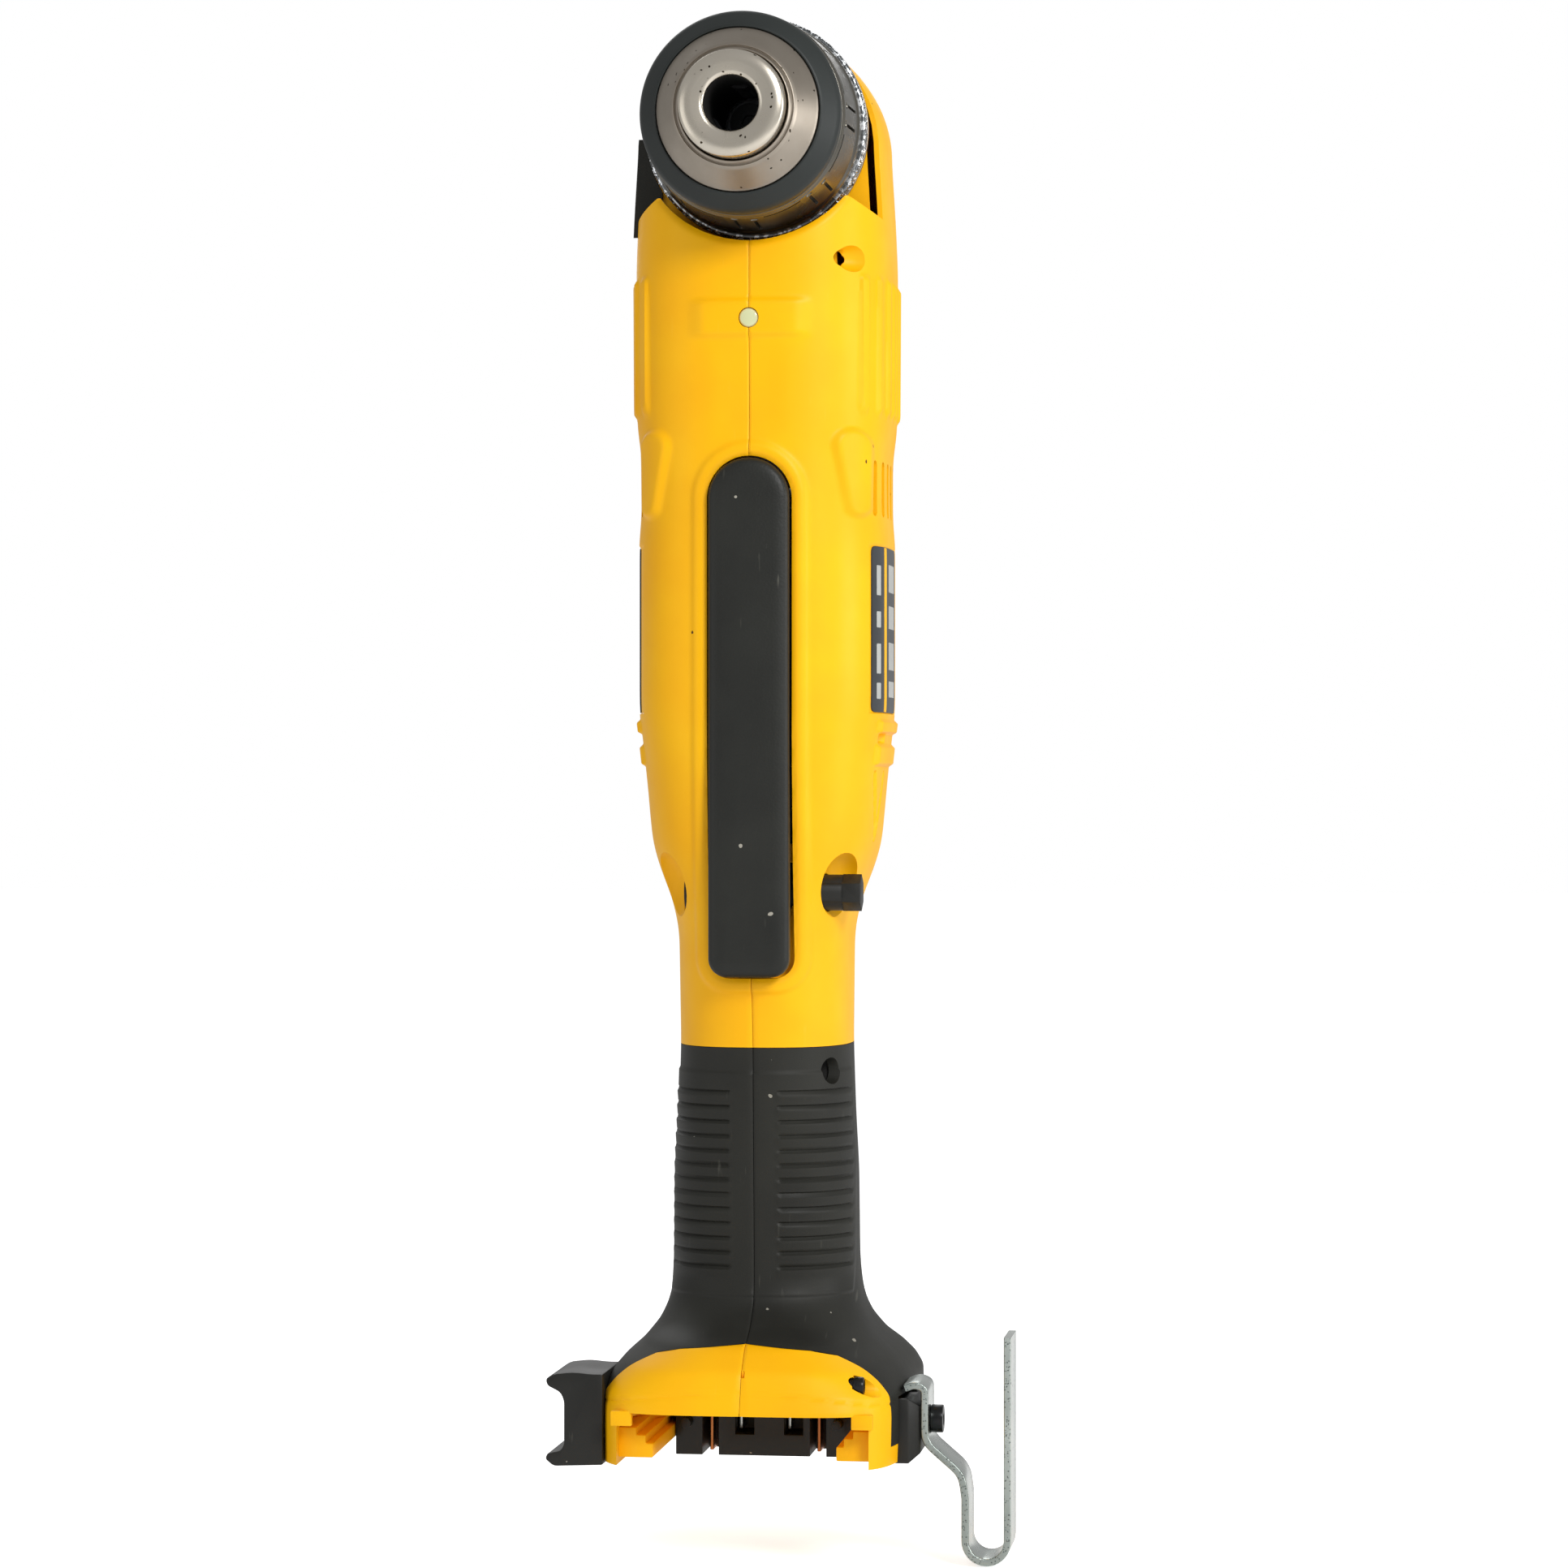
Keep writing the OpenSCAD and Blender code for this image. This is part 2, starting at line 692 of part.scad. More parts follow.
module chuck_body() {
    shoulder = 2.4;
    nose_r = 11.4;
    color("gainsboro") forward() difference() {
        rotate_extrude() polygon(concat(
            [[0, 15], [chuck_body_r, 15], [chuck_body_r, nut_y0 - 0.1], [7.8, nut_y0 - 0.1], [7.8, nut_y1 + 0.1],
                [16.4, nut_y1 + 0.1], [16.4, 46.6], [nose_r, 47.6]],
            [for (a = [0 : 15 : 90]) [nose_r - shoulder + shoulder * cos(a), nose_y - shoulder + shoulder * sin(a)]],
            [[0, nose_y]]));
        translate([0, 0, 26]) cylinder(r = nose_bore_r + bore_relief, h = nose_y - nose_wall - 26);
        translate([0, 0, nose_y - nose_wall - 1]) cylinder(r = nose_bore_r, h = nose_wall + 2);
        translate([0, 0, 14]) cylinder(r = spindle_r, h = 10);
        translate([0, 0, 23]) cylinder(r = 2.6, h = 4);
        for (k = [0 : 2])
            rotate([0, 0, 90 + 120 * k]) jaw_path(17, nose_y - nose_wall + 4, jaw_r + jaw_gap);
    }
}

module chuck_rear_cap() {
    color("gray") forward(14.4) ring_solid(sleeve_r - 0.1, chuck_body_r, 2.6);
}

module chuck_screw() {
    color("dimgray") forward() union() {
        translate([0, 0, 13]) cylinder(r = 2.5, h = 14);
        translate([0, 0, 26]) difference() {
            cylinder(r = 4.4, h = 2.6);
            translate([0, 0, 1.2]) cylinder(r = 2, h = 2, $fn = 6);
        }
    }
}

module chuck_sleeve() {
    color("darkslategray") forward() difference() {
        rotate_extrude() polygon([[sleeve_in_r, 17.3], [sleeve_r - 0.9, 17.3], [sleeve_r - 0.9, 21],
            [sleeve_r, 21], [sleeve_r - 0.2, 27], [21.3, 41.5], [sleeve_in_r, 41.5]]);
        // shallow moulded flutes around the sleeve
        for (a = [0 : 45 : 315])
            rotate([0, 0, a]) translate([21.6, -0.4, 28]) cube([4, 0.8, 9]);
    }
}

module grip_band() {
    color("silver") forward(17.3) ring_solid(sleeve_r + 0.15, sleeve_r - 0.9, 3.7);
}

module sleeve_rim() {
    color("black") forward() rotate_extrude() polygon([[sleeve_in_r, 41.5], [21.3, 41.5], [21.2, 43.2], [20.7, 45],
        [19.6, 46.9], [18.3, 48.3], [17.3, 48.8], [17.3, 43.2], [sleeve_in_r, 43.2]]);
}

module sleeve_cone() {
    color("silver") forward() rotate_extrude() polygon([[16.7, 43.4], [17.3, 43.4], [17.3, 49], [12.6, 54.9],
        [12.1, 55.3], [11.8, 55], [11.8, 53.4], [16.7, 47.6]]);
}

module chuck_nut() {
    color("gray") forward() rotate_extrude() polygon([[jaw_axis_r(nut_y0) + jaw_r / cos(jaw_angle) + 0.15, nut_y0],
        [sleeve_in_r, nut_y0], [sleeve_in_r, nut_y1 - 1],
        [jaw_axis_r(nut_y1 - 1) + jaw_r / cos(jaw_angle) + 0.15, nut_y1 - 1]]);
}

module spindle() {
    color("silver") forward() difference() {
        union() {
            translate([0, 0, -20]) cylinder(r = spindle_r, h = 44);
            translate([0, 0, 3]) cylinder(r = 7.4, h = 4);
        }
        translate([0, 0, 12]) cylinder(r = 2.55, h = 13);
    }
}

// ---- trigger, switch and button ----
module paddle() {
    color("black") difference() {
        union() {
            translate([0, paddle_y + paddle_t, 0]) rotate([90, 0, 0]) linear_extrude(paddle_t) paddle_outline(0);
            // ears that hang on the hinge pin
            for (s = [-1, 1])
                translate([s > 0 ? 5.2 : -7.6, paddle_y + 2, pivot_z - 8]) cube([2.4, 8.8, 10]);
            // pad that presses the plunger
            translate([-4, paddle_y + 2, plunger_z - 4]) cube([8, 4.6, 8]);
        }
        across_x(-12, 12, pivot_y, pivot_z, 1.55);
    }
}

module hinge_pin() {
    color("silver") across_x(-12.5, 12.5, pivot_y, pivot_z, 1.5);
}

spring_turns = 5;
spring_y0 = -26;
spring_y1 = -13.1;
module trigger_spring() {
    steps = 12;
    color("silver") tube([for (i = [0 : spring_turns * steps])
        let (a = 360 * i / steps, t = i / (spring_turns * steps))
        [3.9 * cos(a), spring_y0 + 0.4 + (spring_y1 - spring_y0 - 0.8) * t, plunger_z + 3.9 * sin(a)]], 0.35, 6);
}

module switch_plunger() {
    color("red") translate([0, -4, plunger_z]) rotate([90, 0, 0]) cylinder(r = plunger_r - 0.2, h = 21.9);
}

module switch_body() {
    color("darkslategray") difference() {
        translate([-11, -13, 106]) cube([22, 27, 34]);
        translate([0, 2, plunger_z]) rotate([90, 0, 0]) cylinder(r = plunger_r, h = 20);
        translate([-button_travel - 2, -20, button_z - 1.6]) cube([button_travel + 4, 10, 3.2]);
    }
}

module reverse_button() {
    color("black") union() {
        across_x(-15.3, 19, button_y, button_z, button_r);
        across_x(19, 23, button_y, button_z, 4, 6);
        translate([0, button_y, button_z]) rotate([-90, 0, 0]) cylinder(r = 1.2, h = 8.4);
    }
}

// ---- electrics ----
module control_board() {
    color("green") union() {
        translate([-9, 2, 36]) cube([18, 1.6, 46]);
        translate([-6, -4, 42]) cube([12, 6.05, 9]);
        for (z = [56, 66])
            translate([0, 2.05, z]) rotate([90, 0, 0]) cylinder(r = 3.5, h = 7);
    }
}

module heat_sink() {
    color("silver") union() {
        translate([-9, 3.6, 44]) cube([18, 1.5, 30]);
        for (x = [-9 : 3 : 8])
            translate([x, 5, 44]) cube([1.2, 5.2, 30]);
    }
}

blade_x = [-11.9, 11.9];
signal_x = [-5.4, 5.4];
module terminal_block() {
    color("black") difference() {
        union() {
            translate([-19.4, -8, -1]) cube([38.8, 21, channel_h + 0.9]);
            translate([-15, -6, 11]) cube([30, 16, 5]);
            for (s = [-1, 1])
                translate([s * 16.6, -8, 5]) rotate([90, 0, 0]) cylinder(r = 1.1, h = 4);
        }
        for (x = blade_x)
            translate([x - 1.6, -9, -2]) cube([3.6, 13, 12.2]);
        for (x = signal_x)
            translate([x - 0.8, -9, 2.2]) cube([4.2, 11, 8]);
    }
}

module power_blades() {
    color("peru") for (x = blade_x)
        translate([x - 0.4, -4.5, -0.4]) cube([0.8, 8.4, 10.6]);
}

module signal_blades() {
    color("silver") for (x = signal_x)
        translate([x - 0.4, -4.5, 3]) cube([0.8, 6.4, 7.2]);
}

module led_lens() {
    color("white") translate([0, -25, led_z]) rotate([90, 0, 0]) union() {
        cylinder(r = 2.1, h = 5);
        translate([0, 0, 5]) cylinder(r1 = 2.1, r2 = 1.5, h = 1);
        translate([0, 0, -1]) cylinder(r = 2.5, h = 1);
    }
}

// Wires from the terminals to the switch, and from the switch to the motor
module leads() {
    color("crimson") union() {
        tube([[-8, 0, 16.8], [-9, -4, 22], [-7, -8, 30], [-8, -8, 60], [-9, -7, 90], [-8, -5, 100], [-8, -5, 105.8]], 1.1);
        tube([[8, 0, 16.8], [9, -4, 22], [7, -8, 30], [8, -8, 60], [9, -7, 90], [8, -5, 100], [8, -5, 105.8]], 1.1);
        for (x = [-5, 5])
            tube([[x, 9, 140.02], [x, 9, 141.98]], 1);
    }
}

module housing_screws() {
    color("dimgray") for (s = screws) {
        difference() {
            across_x(s.z, s.z + 2.4, s.x, s.y, 3.1);
            across_x(s.z + 1, s.z + 4, s.x, s.y, 1.5, 6);
        }
        across_x(-8.5, s.z + 0.5, s.x, s.y, 1.5);
    }
}

// ---- foot fittings ----
// Bent strap seen from the front: the line through the middle of its thickness
hook_arm_x = 55.2;
hook_leg_x = 46.1;
hook_bend_z = -17;
hook_top_z = 26.8;
hook_line = concat([[33.2, 15.6], [35.4, 16.1], [36.9, 15.5], [37.4, 14.2], [37.4, 4.9], [37.8, 4], [45.6, -3],
    [46.1, -4]], [for (a = [180 : 15 : 360])
        [(hook_leg_x + hook_arm_x) / 2, hook_bend_z] + (hook_arm_x - hook_leg_x) / 2 * [cos(a), sin(a)]],
    [[hook_arm_x, hook_top_z]]);
function unit(v) = v / norm(v);
function strap_side(line, i) =
    let (last = len(line) - 1, u = unit(line[max(i, 1)] - line[max(i, 1) - 1]),
        v = unit(line[min(i, last - 1) + 1] - line[min(i, last - 1)]), w = unit(u + v))
    strap_t / 2 * [-w.y, w.x] / (w * u);

module belt_hook() {
    last = len(hook_line) - 1;
    color("lightgray") difference() {
        translate([0, hook_y + strap_w / 2, 0]) rotate([90, 0, 0]) linear_extrude(strap_w)
            polygon(concat([for (i = [0 : last]) hook_line[i] + strap_side(hook_line, i)],
                [for (i = [last : -1 : 0]) hook_line[i] - strap_side(hook_line, i)]));
        across_x(36, 39, hook_y, hook_screw_z, 2.2);
    }
}

module hook_boss() {
    color("black") difference() {
        hull() {
            translate([30.5, hook_y - 8.8, -0.4]) cube([3.6, 17.6, 13.8]);
            translate([30.5, hook_y - 6.5, 1.6]) cube([6.05, 13, 10]);
        }
        across_x(29, 39, hook_y, hook_screw_z, 2.05);
        translate([30, hook_y - strap_w / 2 - 0.1, 12.9]) cube([10, strap_w + 0.2, 5]);
    }
}

module belt_hook_screw() {
    color("black") difference() {
        union() {
            across_x(28, 38.3, hook_y, hook_screw_z, 2);
            across_x(38.25, 40.9, hook_y, hook_screw_z, 3);
        }
        across_x(39.6, 42, hook_y, hook_screw_z, 1.4, 6);
    }
}

module bit_holder() {
    color("black") difference() {
        translate([0, -16, 0]) rotate([90, 0, 0]) linear_extrude(22) polygon([[-30.6, -0.6], [-41.5, -1], [-43, 0.4],
            [-42.6, 1.6], [-39.5, 2.4], [-39, 3.6], [-39, 15.6], [-39.6, 17], [-42.4, 18.8], [-42.8, 20.2],
            [-41.4, 21], [-36, 20], [-33.2, 17.4], [-30.6, 17.4]]);
        across_x(-45, -30, holder_y, holder_z, 1.75);
        across_x(-45, -36.5, holder_y, holder_z, 3.2);
    }
}

module bit_holder_screw() {
    color("dimgray") difference() {
        union() {
            across_x(-38.7, -36.5, holder_y, holder_z, 3);
            across_x(-36.6, -28.5, holder_y, holder_z, 1.6);
        }
        across_x(-40, -37.7, holder_y, holder_z, 1.4, 6);
    }
}

module label_left() {
    color("black") label_plate(-1, 160.6, 196.6, -13, 10, -0.1, 0.45);
}

module label_right() {
    color("black") label_plate(1, 160.6, 196.6, -18, 8, -0.1, 0.45);
}

housing_left();
housing_right();
grip_left();
grip_right();
head_pad();
gear_case();
ring_gear();
gearbox_plate();
motor_can();
motor_magnets();
motor_end_cap();
brushes();
motor_bearings();
spindle_bearings();
pinion_bearing();
switch_body();
control_board();
heat_sink();
terminal_block();
power_blades();
signal_blades();
led_lens();
leads();
housing_screws();
belt_hook();
belt_hook_screw();
hook_boss();
bit_holder();
bit_holder_screw();
hinge_pin();
label_left();
label_right();
spindle();
bevel_gear();
chuck_body();
chuck_rear_cap();
chuck_screw();
chuck_sleeve();
grip_band();
sleeve_rim();
sleeve_cone();
chuck_nut();
jaw_1();
jaw_2();
jaw_3();
armature();
motor_shaft();
commutator();
fan();
sun_gear();
planet_carrier();
bevel_pinion();
planet_1();
planet_2();
planet_3();
paddle();
trigger_spring();
switch_plunger();
reverse_button();
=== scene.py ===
import json
import math
import bmesh
import bpy
import numpy as np
from mathutils import Euler, Matrix, Vector


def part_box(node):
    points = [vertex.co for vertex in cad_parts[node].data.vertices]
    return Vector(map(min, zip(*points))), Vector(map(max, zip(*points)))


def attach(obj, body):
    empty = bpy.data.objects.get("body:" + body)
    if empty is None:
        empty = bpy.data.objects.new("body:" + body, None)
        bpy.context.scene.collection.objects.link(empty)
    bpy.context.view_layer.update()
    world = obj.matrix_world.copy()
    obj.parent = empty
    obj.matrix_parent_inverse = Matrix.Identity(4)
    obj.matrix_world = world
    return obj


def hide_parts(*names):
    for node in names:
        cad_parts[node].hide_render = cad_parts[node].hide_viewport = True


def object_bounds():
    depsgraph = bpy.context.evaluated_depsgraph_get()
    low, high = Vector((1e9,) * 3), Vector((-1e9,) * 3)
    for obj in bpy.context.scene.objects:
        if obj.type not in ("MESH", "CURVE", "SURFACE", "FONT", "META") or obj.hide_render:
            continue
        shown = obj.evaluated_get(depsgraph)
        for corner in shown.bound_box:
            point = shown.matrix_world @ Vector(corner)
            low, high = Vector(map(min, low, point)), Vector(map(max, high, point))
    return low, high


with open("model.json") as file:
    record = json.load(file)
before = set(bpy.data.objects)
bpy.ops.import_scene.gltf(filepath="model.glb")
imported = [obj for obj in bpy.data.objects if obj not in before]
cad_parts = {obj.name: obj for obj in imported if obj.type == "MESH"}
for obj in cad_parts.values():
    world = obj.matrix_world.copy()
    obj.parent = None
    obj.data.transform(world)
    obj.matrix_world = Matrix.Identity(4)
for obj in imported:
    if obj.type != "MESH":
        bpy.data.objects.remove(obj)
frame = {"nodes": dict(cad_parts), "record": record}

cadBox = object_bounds()
scene = bpy.context.scene
mm = 0.001
mounts = {m["name"]: m for m in frame["record"]["mounts"]}
axisHeight = mounts["chuck_bore"]["pos_m"][2] / mm  # height of the drilling axis
print("frame loaded")


# ---- small tools ----
def nodeBox(name):
    low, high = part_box(name)
    return np.array(low) / mm, np.array(high) / mm


def meshPiece(name, points, faces, sharp=32):
    mesh = bpy.data.meshes.new(name)
    mesh.from_pydata((np.asarray(points, float) * mm).tolist(), [], faces)
    piece = bpy.data.objects.new(name, mesh)
    scene.collection.objects.link(piece)
    return dressed(piece, sharp)


def dressed(piece, sharp=32):  # outward faces, smooth shading and sharp edges by angle
    work = bmesh.new()
    work.from_mesh(piece.data)
    bmesh.ops.recalc_face_normals(work, faces=work.faces)
    work.to_mesh(piece.data)
    work.free()
    piece.data.shade_smooth()
    piece.data.set_sharp_from_angle(angle=math.radians(sharp))
    return piece


def settled(piece, sharp=32):  # applies every modifier
    graph = bpy.context.evaluated_depsgraph_get()
    mesh = bpy.data.meshes.new_from_object(piece.evaluated_get(graph))
    piece.modifiers.clear()
    piece.data = mesh
    mesh.name = piece.name
    mesh.shade_smooth()
    mesh.set_sharp_from_angle(angle=math.radians(sharp))
    return piece


def drop(*pieces):
    for piece in pieces:
        bpy.data.objects.remove(piece)


def carve(piece, tool, operation="DIFFERENCE", keepTool=False):
    cut = piece.modifiers.new("carve", "BOOLEAN")
    cut.solver = "MANIFOLD"
    cut.operation = operation
    cut.object = tool
    settled(piece)
    if not keepTool:
        drop(tool)
    return piece


def united(first, *others):
    for other in others:
        carve(first, other, "UNION")
    return first


def copied(piece, name):
    twin = bpy.data.objects.new(name, piece.data.copy())
    scene.collection.objects.link(twin)
    return twin


def bevelled(piece, width, segments=2, angle=35):
    edge = piece.modifiers.new("bevel", "BEVEL")
    edge.width = width * mm
    edge.segments = segments
    edge.limit_method = "ANGLE"
    edge.angle_limit = math.radians(angle)
    edge.use_clamp_overlap = True
    return settled(piece)


# A flat outline pulled along one axis; its two coordinates are the other axes in order
def prism(name, outline, axis, low, high):
    turn = {"x": (1, 2, 0), "y": (0, 2, 1), "z": (0, 1, 2)}[axis]
    points = []
    for level in (low, high):
        for u, v in outline:
            spot = [0.0, 0.0, 0.0]
            spot[turn[0]], spot[turn[1]], spot[turn[2]] = u, v, level
            points.append(spot)
    n = len(outline)
    faces = [list(range(n)), list(range(n, 2 * n))]
    faces += [[i, (i + 1) % n, n + (i + 1) % n, n + i] for i in range(n)]
    return meshPiece(name, points, faces)


def block(name, low, high):
    return prism(name, [(low[0], low[1]), (high[0], low[1]), (high[0], high[1]), (low[0], high[1])],
                 "z", low[2], high[2])


def circlePoints(u, v, radius, count=64, start=0.0, sweep=360.0):
    steps = count if sweep == 360 else count + 1
    turns = [math.radians(start + sweep * i / count) for i in range(steps)]
    return [(u + radius * math.cos(t), v + radius * math.sin(t)) for t in turns]


def rod(name, axis, u, v, radius, low, high, count=64):
    return prism(name, circlePoints(u, v, radius, count), axis, low, high)


# Rings of equal length skinned into one closed solid
def skinned(name, rings, sharp=32):
    rings = np.asarray(rings, float)
    rows, n = rings.shape[:2]
    points = np.vstack([rings.reshape(-1, 3), rings[0].mean(0), rings[-1].mean(0)])
    k, i = np.meshgrid(np.arange(rows - 1), np.arange(n), indexing="ij")
    j = (i + 1) % n
    quads = np.stack([k * n + i, k * n + j, (k + 1) * n + j, (k + 1) * n + i], -1).reshape(-1, 4).tolist()
    caps = [[(i + 1) % n, i, rows * n] for i in range(n)]
    caps += [[(rows - 1) * n + i, (rows - 1) * n + (i + 1) % n, rows * n + 1] for i in range(n)]
    return meshPiece(name, points, quads + caps, sharp)


def filleted(corners, steps=5):  # (u, v, fillet radius) corners of a closed outline
    outline = []
    count = len(corners)
    for i, (u, v, radius) in enumerate(corners):
        here = np.array([u, v])
        before = np.array(corners[i - 1][:2]) - here
        after = np.array(corners[(i + 1) % count][:2]) - here
        if radius <= 0:
            outline.append((u, v))
            continue
        reach = min(radius, 0.45 * np.linalg.norm(before), 0.45 * np.linalg.norm(after))
        a = here + before / np.linalg.norm(before) * reach
        b = here + after / np.linalg.norm(after) * reach
        for s in range(steps + 1):
            t = s / steps
            outline.append(tuple((1 - t) ** 2 * a + 2 * t * (1 - t) * here + t * t * b))
    return outline


# A closed outline of (radius, distance forward) turned round the drilling axis
def turned(name, corners, segments=160, sharp=32):
    outline = filleted(corners)
    n = len(outline)
    points = []
    for s in range(segments):
        t = 2 * math.pi * s / segments
        points += [(r * math.cos(t), -y, axisHeight + r * math.sin(t)) for r, y in outline]
    faces = []
    for s in range(segments):
        a, b = s * n, (s + 1) % segments * n
        faces += [[a + i, a + (i + 1) % n, b + (i + 1) % n, b + i] for i in range(n)]
    return meshPiece(name, points, faces, sharp)


def softStep(value, start, end):  # 0 before start, 1 after end
    t = np.clip((value - start) / (end - start), 0, 1)
    return t * t * (3 - 2 * t)


def band(value, low, high, soft):
    return softStep(value, low - soft, low + soft) * (1 - softStep(value, high - soft, high + soft))


# ---- Geometry Nodes helpers ----
def newTree(name, inputs):
    tree = bpy.data.node_groups.new(name, "GeometryNodeTree")
    tree.interface.new_socket("Geometry", in_out="INPUT", socket_type="NodeSocketGeometry")
    tree.interface.new_socket("Geometry", in_out="OUTPUT", socket_type="NodeSocketGeometry")
    for label, kind, value in inputs:
        socket = tree.interface.new_socket(label, in_out="INPUT", socket_type="NodeSocket" + kind)
        socket.default_value = value
    return tree, tree.nodes.new("NodeGroupInput"), tree.nodes.new("NodeGroupOutput")


def addNode(tree, kind, values=None, **settings):
    node = tree.nodes.new(kind)
    for key, value in settings.items():
        setattr(node, key, value)
    for key, value in (values or {}).items():
        if isinstance(value, bpy.types.NodeSocket):
            tree.links.new(value, node.inputs[key])
        else:
            node.inputs[key].default_value = value
    return node


def finishTree(tree, geometry, groupIn, groupOut):
    whole = addNode(tree, "GeometryNodeRealizeInstances", {"Geometry": geometry})
    coat = addNode(tree, "GeometryNodeSetMaterial", {"Geometry": whole.outputs[0],
                                                     "Material": groupIn.outputs["Material"]})
    tree.links.new(coat.outputs[0], groupOut.inputs[0])


def grown(name, tree, values, source=None, sharp=32):  # runs a tree and keeps its plain mesh
    piece = source or bpy.data.objects.new(name, bpy.data.meshes.new(name))
    if source is None:
        scene.collection.objects.link(piece)
    modifier = piece.modifiers.new("nodes", "NODES")
    modifier.node_group = tree
    for item in tree.interface.items_tree:
        if item.item_type == "SOCKET" and item.in_out == "INPUT" and item.name in values:
            modifier[item.identifier] = values[item.name]
    graph = bpy.context.evaluated_depsgraph_get()
    mesh = bpy.data.meshes.new_from_object(piece.evaluated_get(graph))
    drop(piece)
    result = bpy.data.objects.new(name, mesh)
    mesh.name = name
    scene.collection.objects.link(result)
    return dressed(result, sharp)


def placed(piece, matrix):  # moves the mesh itself, so the object stays at the origin
    piece.data.transform(matrix)
    return piece


def forwardPlace(distance=0.0):  # local +Z becomes forward along the drilling axis
    return Matrix.Translation((0, -distance * mm, axisHeight * mm)) @ Matrix.Rotation(math.pi / 2, 4, "X")


def curvePiece(name, points, cyclic=False):
    curve = bpy.data.curves.new(name, "CURVE")
    curve.dimensions = "3D"
    line = curve.splines.new("POLY")
    line.points.add(len(points) - 1)
    for spot, point in zip(line.points, points):
        spot.co = (point[0] * mm, point[1] * mm, point[2] * mm, 1)
    line.use_cyclic_u = cyclic
    piece = bpy.data.objects.new(name, curve)
    scene.collection.objects.link(piece)
    return piece


# ---- shared shader groups ----
def newGroup(name, inputs, outputs):
    group = bpy.data.node_groups.new(name, "ShaderNodeTree")
    for label, kind, value in inputs:
        socket = group.interface.new_socket(label, in_out="INPUT", socket_type="NodeSocket" + kind)
        if value is not None:
            socket.default_value = value
    for label, kind in outputs:
        group.interface.new_socket(label, in_out="OUTPUT", socket_type="NodeSocket" + kind)
    return group, group.nodes.new("NodeGroupInput"), group.nodes.new("NodeGroupOutput")


def makeGrainGroup():  # fine moulded texture: height for the bump, and a slow drift of shade
    group, gin, gout = newGroup("mouldedGrain", [("Vector", "Vector", None), ("Grain size", "Float", 0.3),
                                                 ("Pebble", "Float", 0.5)],
                                [("Height", "Float"), ("Drift", "Float")])
    scale = addNode(group, "ShaderNodeMath", {0: 1.0 / mm, 1: gin.outputs["Grain size"]}, operation="DIVIDE")
    fine = addNode(group, "ShaderNodeTexNoise", {"Vector": gin.outputs["Vector"], "Scale": scale.outputs[0],
                                                 "Detail": 2.0})
    cells = addNode(group, "ShaderNodeTexVoronoi", {"Vector": gin.outputs["Vector"], "Scale": scale.outputs[0]},
                    feature="SMOOTH_F1")
    height = addNode(group, "ShaderNodeMix", {"Factor": gin.outputs["Pebble"], 2: fine.outputs["Fac"],
                                              3: cells.outputs["Distance"]})
    slow = addNode(group, "ShaderNodeTexNoise", {"Vector": gin.outputs["Vector"], "Scale": 55.0, "Detail": 3.0})
    drift = addNode(group, "ShaderNodeMapRange", {"Value": slow.outputs["Fac"], "From Min": 0.3, "From Max": 0.7})
    group.links.new(height.outputs[0], gout.inputs["Height"])
    group.links.new(drift.outputs[0], gout.inputs["Drift"])
    return group


def makeSpeckGroup():  # sparse dust or pits, and short scuffs
    group, gin, gout = newGroup("specksAndScuffs", [("Vector", "Vector", None), ("Spacing", "Float", 4.0),
                                                    ("Speck size", "Float", 0.06), ("Scuffs", "Float", 0.3)],
                                [("Specks", "Float"), ("Scuffs", "Float")])
    scale = addNode(group, "ShaderNodeMath", {0: 1.0 / mm, 1: gin.outputs["Spacing"]}, operation="DIVIDE")
    wobble = addNode(group, "ShaderNodeTexNoise", {"Vector": gin.outputs["Vector"], "Scale": 400.0})
    bent = addNode(group, "ShaderNodeMix", {"Factor": 0.0015, 4: gin.outputs["Vector"],
                                            5: wobble.outputs["Color"]}, data_type="VECTOR")
    dots = addNode(group, "ShaderNodeTexVoronoi", {"Vector": bent.outputs[1], "Scale": scale.outputs[0]})
    near = addNode(group, "ShaderNodeMath", {0: dots.outputs["Distance"], 1: gin.outputs["Speck size"]},
                   operation="LESS_THAN")
    rare = addNode(group, "ShaderNodeSeparateColor", {"Color": dots.outputs["Color"]})
    chosen = addNode(group, "ShaderNodeMath", {0: rare.outputs[0], 1: 0.6}, operation="GREATER_THAN")
    specks = addNode(group, "ShaderNodeMath", {0: near.outputs[0], 1: chosen.outputs[0]}, operation="MULTIPLY")
    stretch = addNode(group, "ShaderNodeMapping", {"Vector": gin.outputs["Vector"], "Rotation": (0.6, 0.9, 0.4),
                                                   "Scale": (900.0, 60.0, 140.0)})
    lines = addNode(group, "ShaderNodeTexNoise", {"Vector": stretch.outputs[0], "Scale": 1.0, "Detail": 1.0})
    thin = addNode(group, "ShaderNodeMapRange", {"Value": lines.outputs["Fac"], "From Min": 0.7, "From Max": 0.78})
    patch = addNode(group, "ShaderNodeTexNoise", {"Vector": gin.outputs["Vector"], "Scale": 90.0})
    where = addNode(group, "ShaderNodeMapRange", {"Value": patch.outputs["Fac"], "From Min": 0.5, "From Max": 0.65})
    scuffs = addNode(group, "ShaderNodeMath", {0: thin.outputs[0], 1: where.outputs[0]}, operation="MULTIPLY")
    amount = addNode(group, "ShaderNodeMath", {0: scuffs.outputs[0], 1: gin.outputs["Scuffs"]},
                     operation="MULTIPLY")
    group.links.new(specks.outputs[0], gout.inputs["Specks"])
    group.links.new(amount.outputs[0], gout.inputs["Scuffs"])
    return group


